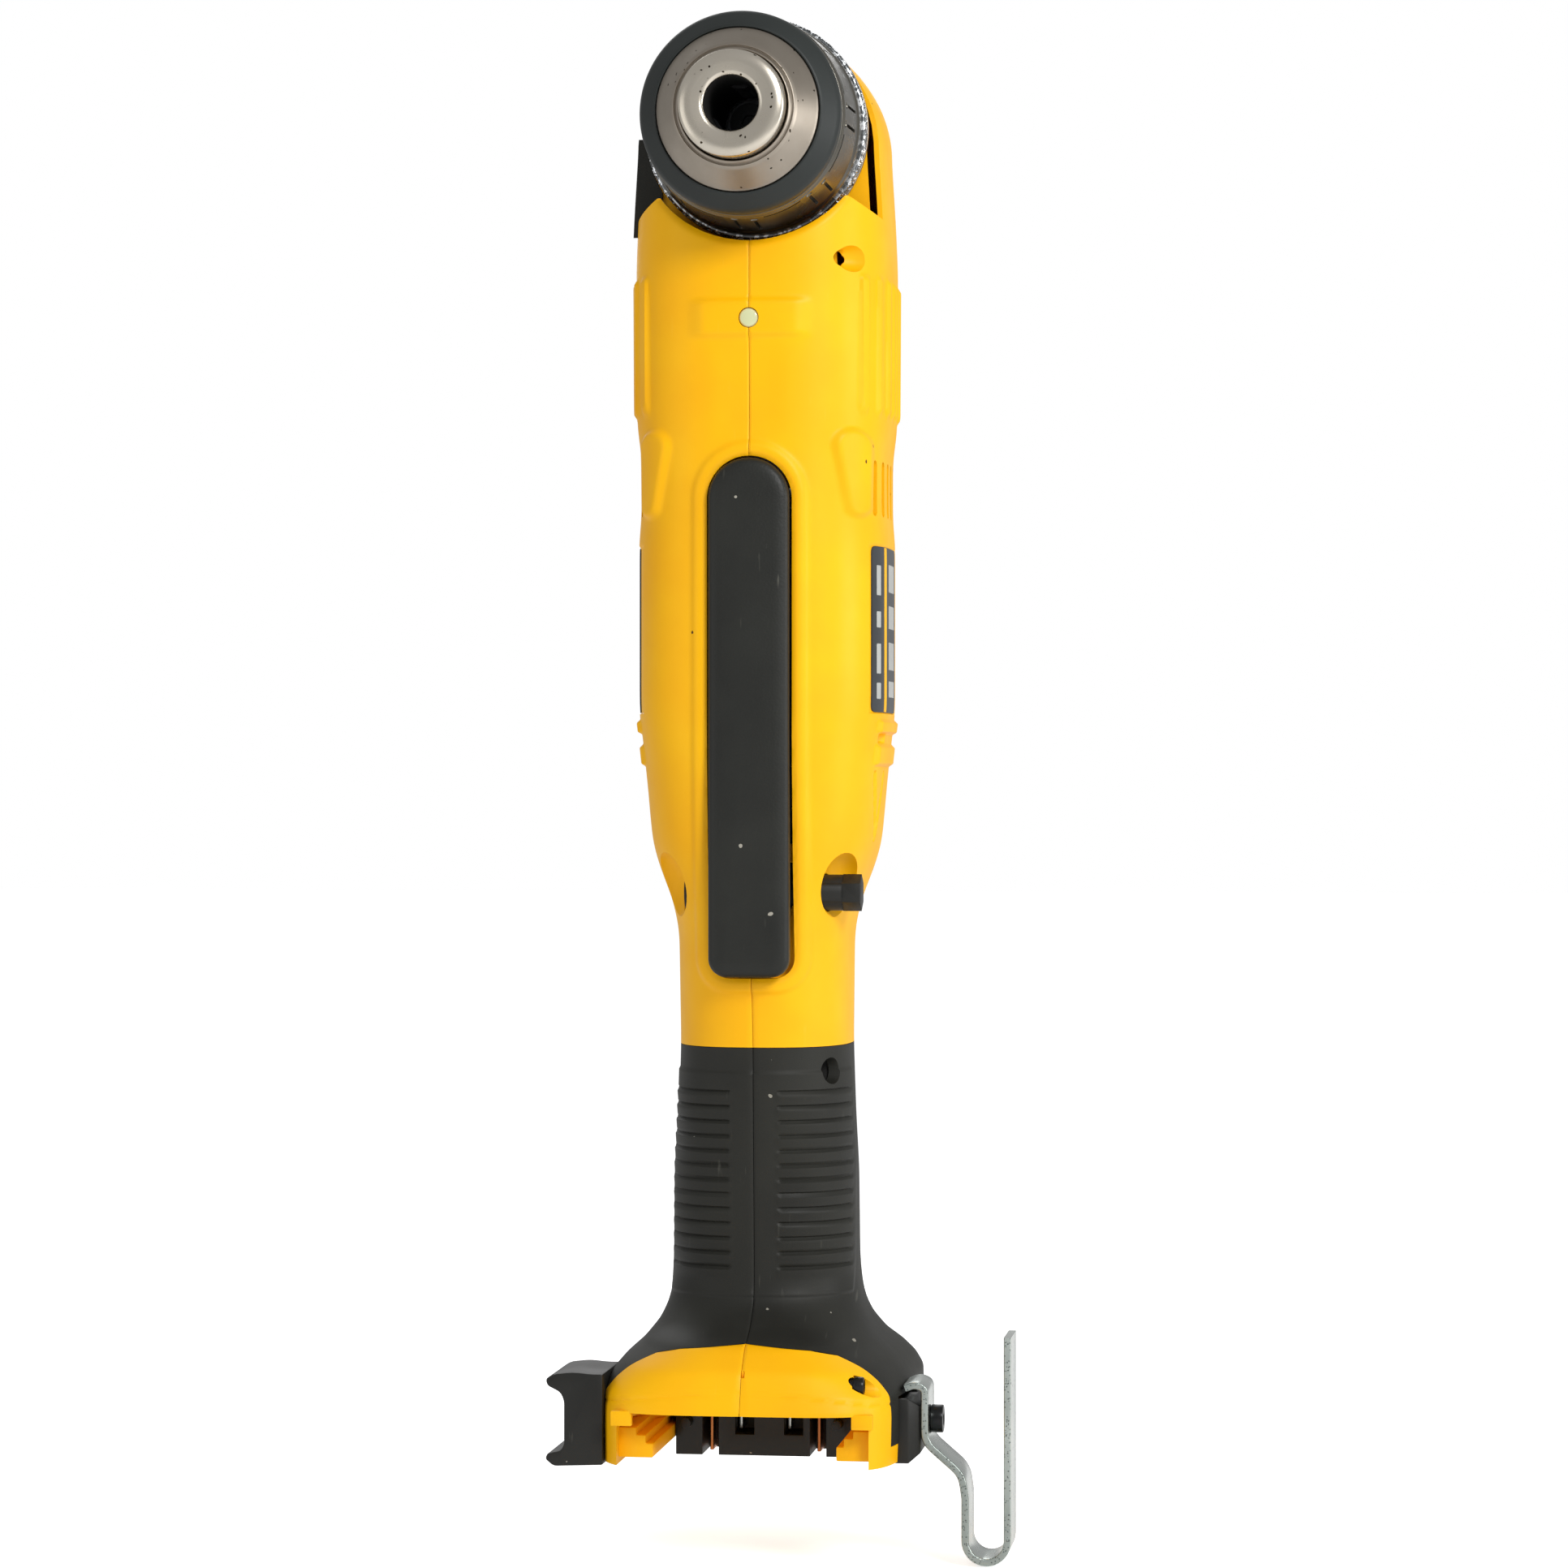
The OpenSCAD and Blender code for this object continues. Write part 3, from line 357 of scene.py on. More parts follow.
def makeTurnedGroup():  # fine rings round an axis, as left by a lathe
    group, gin, gout = newGroup("turnedRings", [("Vector", "Vector", None), ("Ring size", "Float", 0.12)],
                                [("Height", "Float"), ("Shade", "Float")])
    parts = addNode(group, "ShaderNodeSeparateXYZ", {"Vector": gin.outputs["Vector"]})
    flat = addNode(group, "ShaderNodeCombineXYZ", {"X": parts.outputs[0], "Z": parts.outputs[2]})
    radius = addNode(group, "ShaderNodeVectorMath", {0: flat.outputs[0]}, operation="LENGTH")
    rings = addNode(group, "ShaderNodeCombineXYZ", {"X": radius.outputs["Value"], "Y": parts.outputs[1]})
    scale = addNode(group, "ShaderNodeMath", {0: 1.0 / mm, 1: gin.outputs["Ring size"]}, operation="DIVIDE")
    fine = addNode(group, "ShaderNodeTexNoise", {"Vector": rings.outputs[0], "Scale": scale.outputs[0],
                                                 "Detail": 2.0})
    slow = addNode(group, "ShaderNodeTexNoise", {"Vector": gin.outputs["Vector"], "Scale": 180.0, "Detail": 4.0})
    group.links.new(fine.outputs["Fac"], gout.inputs["Height"])
    group.links.new(slow.outputs["Fac"], gout.inputs["Shade"])
    return group


grainGroup = makeGrainGroup()
speckGroup = makeSpeckGroup()
turnedGroup = makeTurnedGroup()


# ---- materials: each finish has its own values ----
finishes = {
    "yellowNylon": {"color": "#ffbe00", "second": "#fbb400", "rough": (0.4, 0.5), "grain": 0.22, "bump": 0.02,
                    "spec": 0.24,
                    "speck": "#5b3a05", "spacing": 9.0, "speckSize": 0.011, "scuffs": 0.1, "scuff": "#ffd657"},
    "gripRubber": {"color": "#1f1f1b", "second": "#272722", "rough": (0.5, 0.62), "grain": 0.3, "bump": 0.04,
                   "spec": 0.3,
                   "speck": "#8f8b80", "spacing": 6.0, "speckSize": 0.018, "scuffs": 0.4, "scuff": "#5b5a52"},
    "paddleBlack": {"color": "#1c1d1a", "second": "#232420", "rough": (0.42, 0.52), "grain": 0.55, "bump": 0.06,
                    "spec": 0.34,
                    "pebble": 0.8, "speck": "#a09c90", "spacing": 8.0, "speckSize": 0.014, "scuffs": 0.35,
                    "scuff": "#6b6a60"},
    "blackNylon": {"color": "#1b1b19", "second": "#22221f", "rough": (0.38, 0.5), "grain": 0.25, "bump": 0.03,
                   "spec": 0.34,
                   "speck": "#807c72", "spacing": 7.0, "speckSize": 0.012, "scuffs": 0.3, "scuff": "#55544c"},
    "satinSteel": {"color": "#aba296", "second": "#978e82", "rough": (0.32, 0.44), "metal": 1.0, "turned": 0.12,
                   "bump": 0.015, "speck": "#3a332b", "spacing": 2.2, "speckSize": 0.03, "scuffs": 0.1,
                   "scuff": "#c8c0b2"},
    "brightNose": {"color": "#dcd5c8", "second": "#cbc2b2", "rough": (0.2, 0.32), "metal": 1.0, "turned": 0.2,
                   "bump": 0.006, "speck": "#41382c", "spacing": 1.6, "speckSize": 0.04, "scuffs": 0.2,
                   "scuff": "#8d8474"},
    "sleeveGrey": {"color": "#6e6a61", "second": "#605d55", "rough": (0.24, 0.32), "metal": 0.85, "grain": 0.2,
                   "bump": 0.012, "speck": "#1c1b19", "spacing": 3.0, "speckSize": 0.02, "scuffs": 0.3,
                   "scuff": "#77756d"},
    "rimRubber": {"color": "#202423", "second": "#272b2a", "rough": (0.4, 0.48), "grain": 0.18, "bump": 0.012,
                  "spec": 0.34,
                  "speck": "#75746b", "spacing": 6.0, "speckSize": 0.012, "scuffs": 0.15, "scuff": "#4d4f4b"},
    "carbideGrit": {"color": "#8f9192", "second": "#5d6062", "rough": (0.14, 0.4), "metal": 1.0, "grain": 0.5,
                    "bump": 0.1, "speck": "#e9ecef", "spacing": 0.7, "speckSize": 0.2, "scuffs": 0.0,
                    "scuff": "#ffffff"},
    "bearingSteel": {"color": "#b9bdc1", "second": "#a4a8ac", "rough": (0.16, 0.26), "metal": 1.0, "grain": 0.4,
                     "bump": 0.006, "speck": "#5a5b5c", "spacing": 5.0, "speckSize": 0.01, "scuffs": 0.2,
                     "scuff": "#d6d8da"},
    "gearSteel": {"color": "#7f8285", "second": "#6a6c6e", "rough": (0.24, 0.36), "metal": 1.0, "grain": 0.3,
                  "bump": 0.01, "speck": "#2f2f2f", "spacing": 3.0, "speckSize": 0.02, "scuffs": 0.3,
                  "scuff": "#a9acaf"},
    "zincPlate": {"color": "#d3d8d2", "second": "#b9c4bf", "rough": (0.14, 0.28), "metal": 1.0, "grain": 1.4,
                  "bump": 0.012, "speck": "#7c8482", "spacing": 2.2, "speckSize": 0.04, "scuffs": 0.3,
                  "scuff": "#f2f5f2"},
    "shearedEdge": {"color": "#b9c1bc", "second": "#8d9692", "rough": (0.25, 0.6), "metal": 0.9, "grain": 0.35,
                    "bump": 0.09, "pebble": 0.7, "speck": "#6d7471", "spacing": 0.45, "speckSize": 0.1,
                    "scuffs": 0.2, "scuff": "#f4f7f4"},
    "castAluminium": {"color": "#b2b4b6", "second": "#9a9c9e", "rough": (0.36, 0.5), "metal": 1.0, "grain": 0.5,
                      "bump": 0.05, "speck": "#4f5052", "spacing": 3.0, "speckSize": 0.02, "scuffs": 0.2,
                      "scuff": "#cfd1d3"},
    "ferrite": {"color": "#2c2c2e", "second": "#353537", "rough": (0.55, 0.7), "grain": 0.4, "bump": 0.05,
                "speck": "#5c5c60", "spacing": 2.0, "speckSize": 0.03, "scuffs": 0.1, "scuff": "#4c4c50"},
    "copperBlade": {"color": "#c07a48", "second": "#a4613a", "rough": (0.22, 0.34), "metal": 1.0, "grain": 0.3,
                    "bump": 0.008, "speck": "#5c3219", "spacing": 2.0, "speckSize": 0.03, "scuffs": 0.4,
                    "scuff": "#e5ab7e"},
    "copperWinding": {"color": "#8a4a24", "second": "#6b3417", "rough": (0.2, 0.32), "metal": 0.9, "grain": 0.7,
                      "bump": 0.12, "speck": "#3c1c0b", "spacing": 1.5, "speckSize": 0.04, "scuffs": 0.0,
                      "scuff": "#ffffff"},
    "tinPlate": {"color": "#cdcfca", "second": "#b4b7b2", "rough": (0.2, 0.3), "metal": 1.0, "grain": 0.3,
                 "bump": 0.006, "speck": "#6c6e6a", "spacing": 2.0, "speckSize": 0.02, "scuffs": 0.3,
                 "scuff": "#eceeea"},
    "graphite": {"color": "#262626", "second": "#303030", "rough": (0.45, 0.6), "grain": 0.25, "bump": 0.03,
                 "speck": "#4b4b4b", "spacing": 1.2, "speckSize": 0.04, "scuffs": 0.1, "scuff": "#404040"},
    "boardGreen": {"color": "#1c5a32", "second": "#164a29", "rough": (0.2, 0.3), "grain": 1.2, "bump": 0.02,
                   "speck": "#c9b368", "spacing": 2.4, "speckSize": 0.12, "scuffs": 0.0, "scuff": "#ffffff"},
    "wireRed": {"color": "#a01c1c", "second": "#8c1616", "rough": (0.3, 0.4), "grain": 0.4, "bump": 0.01,
                "speck": "#5a0f0f", "spacing": 5.0, "speckSize": 0.01, "scuffs": 0.1, "scuff": "#c04a4a"},
    "labelFilm": {"color": "#2a2d2f", "second": "#323538", "rough": (0.3, 0.38), "grain": 0.2, "bump": 0.006,
                  "speck": "#6a6d70", "spacing": 7.0, "speckSize": 0.01, "scuffs": 0.3, "scuff": "#56595c"},
    "labelPale": {"color": "#b9bab6", "second": "#b0b1ad", "rough": (0.34, 0.42), "grain": 0.2, "bump": 0.006,
                  "speck": "#9a9b98", "spacing": 5.0, "speckSize": 0.01, "scuffs": 0.1, "scuff": "#ffffff"},
    "blackOxide": {"color": "#1e1f20", "second": "#2a2b2c", "rough": (0.28, 0.42), "metal": 0.6, "grain": 0.3,
                   "bump": 0.02, "speck": "#6d6e70", "spacing": 3.0, "speckSize": 0.015, "scuffs": 0.5,
                   "scuff": "#5d5e60"},
    "plungerRed": {"color": "#8c2420", "second": "#7a1d1a", "rough": (0.3, 0.4), "grain": 0.3, "bump": 0.01,
                   "speck": "#4a100e", "spacing": 4.0, "speckSize": 0.01, "scuffs": 0.1, "scuff": "#b04a44"},
    "lampLens": {"color": "#d3d6a8", "second": "#b9bd88", "rough": (0.06, 0.12), "grain": 0.8, "bump": 0.01,
                 "speck": "#8a8c6a", "spacing": 1.5, "speckSize": 0.03, "scuffs": 0.0, "scuff": "#ffffff",
                 "glow": 0.06},
    # painted shade: a near-black finish for vents, grooves, bores and gaps, standing in for the shade inside them
    "paintedGapShade": {"color": "#0c0b09", "second": "#14120f", "rough": (0.7, 0.8), "grain": 0.4, "bump": 0.02,
                "speck": "#26221c", "spacing": 3.0, "speckSize": 0.02, "scuffs": 0.0, "scuff": "#ffffff"},
}


def linear(code):
    values = [int(code[i:i + 2], 16) / 255 for i in (1, 3, 5)]
    return [v / 12.92 if v <= 0.04045 else ((v + 0.055) / 1.055) ** 2.4 for v in values] + [1.0]


def buildFinish(name, look):
    material = bpy.data.materials.new(name)
    material.use_nodes = True
    tree = material.node_tree
    shader = tree.nodes["Principled BSDF"]
    place = addNode(tree, "ShaderNodeTexCoord")
    centre = addNode(tree, "ShaderNodeMapping", {"Vector": place.outputs["Object"],
                                                 "Location": (0, 0, -axisHeight * mm)})
    where = centre.outputs[0]
    if "turned" in look:
        grain = addNode(tree, "ShaderNodeGroup", node_tree=turnedGroup)
        grain.inputs["Ring size"].default_value = look["turned"]
        shade = grain.outputs["Shade"]
    else:
        grain = addNode(tree, "ShaderNodeGroup", node_tree=grainGroup)
        grain.inputs["Grain size"].default_value = look["grain"]
        grain.inputs["Pebble"].default_value = look.get("pebble", 0.3)
        shade = grain.outputs["Drift"]
    tree.links.new(where, grain.inputs["Vector"])
    marks = addNode(tree, "ShaderNodeGroup", node_tree=speckGroup)
    tree.links.new(where, marks.inputs["Vector"])
    marks.inputs["Spacing"].default_value = look["spacing"]
    marks.inputs["Speck size"].default_value = look["speckSize"] * 4
    marks.inputs["Scuffs"].default_value = look["scuffs"]
    base = addNode(tree, "ShaderNodeMix", {"Factor": shade, 6: linear(look["color"]), 7: linear(look["second"])},
                   data_type="RGBA")
    scuffed = addNode(tree, "ShaderNodeMix", {"Factor": marks.outputs["Scuffs"], 6: base.outputs[2],
                                              7: linear(look["scuff"])}, data_type="RGBA")
    dusted = addNode(tree, "ShaderNodeMix", {"Factor": marks.outputs["Specks"], 6: scuffed.outputs[2],
                                             7: linear(look["speck"])}, data_type="RGBA")
    rough = addNode(tree, "ShaderNodeMapRange", {"Value": shade, "To Min": look["rough"][0],
                                                 "To Max": look["rough"][1]})
    bump = addNode(tree, "ShaderNodeBump", {"Height": grain.outputs["Height"], "Strength": 0.6,
                                            "Distance": look["bump"] * mm})
    tree.links.new(dusted.outputs[2], shader.inputs["Base Color"])
    tree.links.new(rough.outputs[0], shader.inputs["Roughness"])
    tree.links.new(bump.outputs[0], shader.inputs["Normal"])
    shader.inputs["Metallic"].default_value = look.get("metal", 0.0)
    shader.inputs["IOR"].default_value = 1.48
    shader.inputs["Specular IOR Level"].default_value = look.get("spec", 0.5)
    if "glow" in look:
        shader.inputs["Emission Color"].default_value = linear(look["color"])
        shader.inputs["Emission Strength"].default_value = look["glow"]
        shader.inputs["Coat Weight"].default_value = 0.8
    return material


materials = {name: buildFinish(name, look) for name, look in finishes.items()}
print("materials built")


def coat(piece, finish):
    piece.data.materials.clear()
    piece.data.materials.append(materials[finish])
    return piece


def settle(piece, body, slot, finish, *nodes):  # the finish, body and CAD nodes of a finished piece
    if finish:
        coat(piece, finish)
    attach(piece, body)
    if nodes:
        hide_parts(*nodes)
    return piece


def paintFaces(piece, finish, chosen):  # a second finish for the faces that a test picks
    piece.data.materials.append(materials[finish])
    number = len(piece.data.materials) - 1
    for face in piece.data.polygons:
        if chosen([v / mm for v in face.center]):
            face.material_index = number


# ---- camera, light and floor ----
view = {"place": (134.0, -991.0, 145.0), "turn": 7.5, "lens": 103.8, "sensor": 36.0}
lights = [
    {"name": "keyLight", "place": (620, -820, 700), "aim": (0, 0, 190), "size": 300, "power": 7.4},
    {"name": "sideLight", "place": (900, -150, 260), "aim": (0, 0, 160), "size": 360, "power": 2.2},
    {"name": "fillLight", "place": (-760, -620, 240), "aim": (0, 0, 150), "size": 520, "power": 0.7},
    {"name": "backLight", "place": (-200, 800, 640), "aim": (0, 0, 170), "size": 600, "power": 2.0},
]


def makeCamera():
    data = bpy.data.cameras.new("camera")
    data.lens = view["lens"]
    data.sensor_width = view["sensor"]
    data.clip_start = 0.01
    camera = bpy.data.objects.new("camera", data)
    camera.location = [v * mm for v in view["place"]]
    camera.rotation_euler = Euler((math.pi / 2, 0, math.radians(view["turn"])))
    scene.collection.objects.link(camera)
    scene.camera = camera


def makeLights():
    for lamp in lights:
        data = bpy.data.lights.new(lamp["name"], "AREA")
        data.energy = lamp["power"]
        data.size = lamp["size"] * mm
        piece = bpy.data.objects.new(lamp["name"], data)
        piece.location = [v * mm for v in lamp["place"]]
        aim = Vector([v * mm for v in lamp["aim"]]) - piece.location
        piece.rotation_euler = aim.to_track_quat("-Z", "Y").to_euler()
        scene.collection.objects.link(piece)
    world = bpy.data.worlds.new("studio")
    world.use_nodes = True
    tree = world.node_tree
    sky = tree.nodes["Background"]
    sky.inputs["Color"].default_value = (1, 1, 1, 1)
    seen = addNode(tree, "ShaderNodeLightPath")
    strength = addNode(tree, "ShaderNodeMix", {"Factor": seen.outputs["Is Camera Ray"], 2: 0.44, 3: 1.0})
    tree.links.new(strength.outputs[0], sky.inputs["Strength"])
    scene.world = world
    scene.view_settings.view_transform = "Standard"


def makeFloor():
    bottom = cadBox[0][2] / mm - 0.3
    far = 6000
    floor = meshPiece("floor", [(-far, -far, bottom), (far, -far, bottom), (far, far, bottom), (-far, far, bottom)],
                      [[0, 1, 2, 3]])
    paint = bpy.data.materials.new("paleFloor")
    paint.use_nodes = True
    shader = paint.node_tree.nodes["Principled BSDF"]
    shader.inputs["Base Color"].default_value = (0.9, 0.9, 0.9, 1)
    shader.inputs["Roughness"].default_value = 0.85
    shader.inputs["Emission Color"].default_value = (1, 1, 1, 1)
    seen = addNode(paint.node_tree, "ShaderNodeLightPath")
    glow = addNode(paint.node_tree, "ShaderNodeMix", {"Factor": seen.outputs["Is Camera Ray"], 2: 0.1, 3: 0.66})
    paint.node_tree.links.new(glow.outputs[0], shader.inputs["Emission Strength"])
    floor.data.materials.append(paint)


makeCamera()
makeLights()
makeFloor()
print("camera, light and floor")

# ---- body form ----
bodyShape = {
    "halfWidth": 28.0, "domeFrom": 283.8, "domeHeight": 26.25, "topRadius": 0.4,
    "widths": [[0, 1.16], [10, 1.18], [15, 1.18], [18, 1.13], [21, 1.045], [24, 0.925], [28, 0.81], [32, 0.75],
               [40, 0.722], [60, 0.715], [72, 0.69], [88, 0.67], [113, 0.675], [120, 0.73], [126, 0.82],
               [132, 0.885], [148, 0.932], [158, 0.97], [160, 0.985], [198, 0.985], [203, 0.965], [217, 0.965],
               [223, 1], [258, 1.005], [268, 0.99], [283.8, 0.955]],
    "fronts": [[0, 46], [12, 46], [20, 43], [25, 37.5], [28, 29], [33, 22.5], [45, 22.5], [88, 24.5], [104, 27],
               [125, 29], [150, 30.5], [215, 30.5], [258, 31], [283.8, 31]],
    "backs": [[0, 37], [12, 37], [18, 35], [24, 29], [30, 24.5], [38, 22], [60, 21], [88, 22], [113, 24.5],
              [128, 28.5], [150, 31], [215, 31.5], [258, 33], [283.8, 33]],
    "squareness": [[0, 5], [15, 4.5], [24, 3], [35, 2.4], [88, 2.4], [132, 2.6], [160, 2.9], [283.8, 2.9],
                   [310, 2.5]],
    "columns": 72, "seamSteps": (0.0, 0.12, 0.3, 0.6, 1.1),
}
grip = {"top": 88.0, "stripTop": 127.0, "rubber": 2.0, "wall": 2.5, "grooves": 13, "grooveFrom": 40.4,
        "groovePitch": 3.16}
mouth = {"radius": 25.3, "back": -13.0, "horn": 271.6, "hornOut": 266.5}
paddleShape = {"width": 17.5, "bottom": 103.5, "top": 215.0, "corner": 4.0, "gap": 0.45}
foot = {"channelHalf": 27.0, "channelTop": 11.4, "channelBack": 14.0, "railIn": 19.7, "lipBack": -34.0}
pocket = {"x": 20.5, "y": -21.0, "z": 122.0, "half": (6.2, 8.2, 8.2)}
screwSpots = [(-25.5, 258, 15), (26.5, 262, 15), (26.5, 170, 15), (25, 150, 15), (-15.5, 82.7, 11), (15, 56, 12),
              (-38.6, 17.3, 23.5), (29, 17, 20)]
lamp = {"z": 245.0, "radius": 2.2}


def smoothLookup(table, z):  # table value by height, blended more softly above the foot
    fine = np.arange(-10, 330, 0.25)
    raw = np.interp(fine, [row[0] for row in table], [row[1] for row in table])
    results = []
    for spread in (0.5, 2.4):
        reach = np.arange(-4 * spread, 4 * spread + 0.1, 0.25)
        weight = np.exp(-0.5 * (reach / spread) ** 2)
        padded = np.pad(raw, len(reach) // 2, mode="edge")
        results.append(np.convolve(padded, weight / weight.sum(), mode="valid")[:len(fine)])
    share = softStep(z, 22, 34)
    return np.interp(z, fine, results[0]) * (1 - share) + np.interp(z, fine, results[1]) * share


def sectionSizes(z, inset):
    rise = np.clip((z - bodyShape["domeFrom"]) / bodyShape["domeHeight"], 0, 1)
    low = np.minimum(z, bodyShape["domeFrom"])
    roundSide = np.sqrt(1 - rise ** 2)
    roundTop = (1 - rise ** 3) ** (1 / 3)
    wide = bodyShape["halfWidth"] * smoothLookup(bodyShape["widths"], low) * roundSide - inset
    front = smoothLookup(bodyShape["fronts"], low) * roundTop - inset
    back = smoothLookup(bodyShape["backs"], low) * roundTop - inset
    least = bodyShape["topRadius"]
    square = smoothLookup(bodyShape["squareness"], z)
    return np.maximum(wide, least), np.maximum(front, least), np.maximum(back, least), square


def columnAngles(count, seam):  # angles that space the columns evenly round a typical section
    dense = np.linspace(0, math.pi / 2, 4000)
    x = 27 * np.cos(dense) ** (2 / 2.7)
    y = 30 * np.sin(dense) ** (2 / 2.7)
    arc = np.concatenate([[0], np.cumsum(np.hypot(np.diff(x), np.diff(y)))])
    stops = np.linspace(0, arc[-1] - (2.0 if seam else 0), count + 1)
    if seam:
        stops = np.concatenate([stops[:-1], arc[-1] - np.array(bodyShape["seamSteps"][:0:-1])])
    else:
        stops = stops[:-1]
    quarter = np.interp(stops, arc, dense)
    half = np.concatenate([quarter, [math.pi / 2], math.pi - quarter[::-1][:-1]])
    return np.concatenate([half, half + math.pi])


def formGrid(rows, inset=0.0, count=24, seam=False):
    angles = columnAngles(count, seam)
    z = np.asarray(rows, float)[:, None]
    wide, front, back, square = sectionSizes(z, inset)
    c, s = np.cos(angles)[None, :], np.sin(angles)[None, :]
    power = 2 / square
    x = wide * np.sign(c) * np.abs(c) ** power
    y = np.where(s > 0, back, front) * np.sign(s) * np.abs(s) ** power
    return np.stack([x, y, np.broadcast_to(z, x.shape)], -1)


def gridNormals(grid):
    along = np.gradient(grid, axis=0)
    around = np.roll(grid, -1, 1) - np.roll(grid, 1, 1)
    normal = np.cross(around, along)
    return normal / np.maximum(np.linalg.norm(normal, axis=-1, keepdims=True), 1e-9)


def rowsOf(spans):  # (low, high, step) spans joined into one list of heights
    rows = []
    for low, high, step in spans:
        rows += list(np.arange(low, high - step / 2, step))
    return rows + [spans[-1][1]]


def sideX(y, z):
    wide, front, back, square = sectionSizes(np.array([float(z)]), 0.0)
    deep = back[0] if y > 0 else front[0]
    return float(wide[0] * (1 - (abs(y) / deep) ** square[0]) ** (1 / square[0]))


def paddleDistance(x, z, shape=paddleShape):  # signed distance from the paddle's outline
    half = shape["width"] / 2
    capZ = shape["top"] - half
    lowZ = shape["bottom"] + shape["corner"]
    topPart = np.hypot(x, z - capZ) - half
    side = np.abs(x) - half
    corner = np.hypot(np.maximum(np.abs(x) - half + shape["corner"], 0), np.maximum(lowZ - z, 0)) - shape["corner"]
    low = np.where((np.abs(x) > half - shape["corner"]) & (z < lowZ), corner, np.maximum(side, shape["bottom"] - z))
    return np.where(z > capZ, topPart, low)


def capsuleDistance(u, v, a, b, ra, rb):  # distance from a capsule that tapers from a to b
    a, b = np.array(a, float), np.array(b, float)
    d = b - a
    t = np.clip(((u - a[0]) * d[0] + (v - a[1]) * d[1]) / (d @ d), 0, 1)
    return np.hypot(u - a[0] - t * d[0], v - a[1] - t * d[1]) - (ra + (rb - ra) * t)


def relief(spots):  # how far the surface stands out or in, in millimetres
    x, y, z = spots[..., 0], spots[..., 1], spots[..., 2]
    wide = np.abs(x)
    front = softStep(-y, 4, 8)
    around = paddleDistance(x, z)
    height = 0.75 * front * softStep(around, 4.4, 2.6) * band(z, 99.0, 222.0, 1.5)
    height -= 0.55 * front * np.clip(1 - (around - paddleShape["gap"]) / 1.3, 0, 1) ** 2
    height += 0.8 * front * softStep(wide, 14, 9.5) * band(z, 241.2, 249.0, 0.8)
    height -= 0.3 * front * softStep(wide, 9, 3) * band(z, 221, 239, 3.0)
    for ribY in (-22, -16, -10, -4, 2, 8, 14):
        height += 0.75 * softStep(np.abs(y - ribY), 1.55, 0.75) * band(z, 225.4, 254.6, 0.8)
    pod = capsuleDistance(wide, z, (21.4, 217.8), (22.5, 205.0), 3.7, 2.4)
    height += 1.15 * softStep(-y, 10, 13) * softStep(pod, 0.7, -1.1)
    flank = band(y, -14.0, 15.0, 0.7)
    height += 0.9 * flank * (band(z, 156.2, 158.8, 0.45) + band(z, 149.2, 153.4, 0.5))
    height -= 1.3 * band(y, -12.5, -7.5, 0.5) * band(z, 154.0, 155.8, 0.35)
    height -= 0.45 * band(y, -19.0, 12.0, 0.25) * band(z, 160.4, 196.8, 0.2)
    for legY in (-12.5, -3.5):
        leg = capsuleDistance(y, z, (legY, 147.0), (-8, 133.5), 0.8, 0.6)
        height -= 1.1 * softStep(leg, 0.35, -0.45)
    rim = np.hypot(x, z - axisHeight) - mouth["radius"]
    height -= 0.9 * softStep(-y, 11, 14) * np.clip(1 - np.maximum(rim, 0) / 1.5, 0, 1) ** 2 * (z < 272)
    panel = band(z, 34.2, 82.7, 0.3) * softStep(wide, 20.2, 19.7) * softStep(-y, 2, 4)
    height += 0.3 * panel
    for i in range(grip["grooves"]):
        grooveZ = grip["grooveFrom"] + grip["groovePitch"] * i
        line = softStep(np.abs(z - grooveZ), 0.55, 0.2) * band(wide, 5.3, 19.3, 0.3) * front
        step = softStep(z, grooveZ - 2.9, grooveZ - 0.3) * (z < grooveZ) * band(wide, 5.0, 19.5, 0.4) * front
        height += 0.22 * step - 0.42 * line
    height -= 0.22 * softStep(wide, 0.42, 0.08)
    ridge = 15.8 - 2.6 * (x / 30) ** 2
    height -= 0.22 * softStep(-y, 30, 34) * softStep(np.abs(z - ridge), 0.4, 0.1)
    return height


def solidForm(name, rows, inset=0.0, count=24, seam=False, raised=False):
    grid = formGrid(rows, inset, count, seam)
    if raised:
        grid = grid + gridNormals(grid) * relief(grid)[..., None]
    return skinned(name, grid)


fineRows = rowsOf([(0, 12, 1.0), (12, 27, 0.5), (27, 33, 0.8), (33, 36, 0.25), (36, 84, 0.32), (84, 98, 0.8),
                   (98, 106, 0.4), (106, 146, 0.8), (146, 161.5, 0.25), (161.5, 196, 1.2), (196, 224, 0.4),
                   (224, 240, 1.0), (240, 257, 0.5), (257, 283.8, 0.6)])
domeRows = [bodyShape["domeFrom"] + bodyShape["domeHeight"] * math.sin(math.radians(a)) for a in range(2, 89, 2)]
plainRows = rowsOf([(2, 36, 1.5), (36, 283, 4.0)])
outer = solidForm("outer", fineRows + domeRows + [309.9], count=bodyShape["columns"], seam=True, raised=True)
print("body form", len(outer.data.vertices), "points")


# ---- cutting tools for the shells ----
def slotOutline(grow):
    half = paddleShape["width"] / 2
    corner = paddleShape["corner"]
    outline = circlePoints(0, paddleShape["top"] - half, half + grow, 32, 0, 180)
    outline += circlePoints(corner - half, paddleShape["bottom"] + corner, corner + grow, 10, 180, 90)
    outline += circlePoints(half - corner, paddleShape["bottom"] + corner, corner + grow, 10, 270, 90)
    return outline


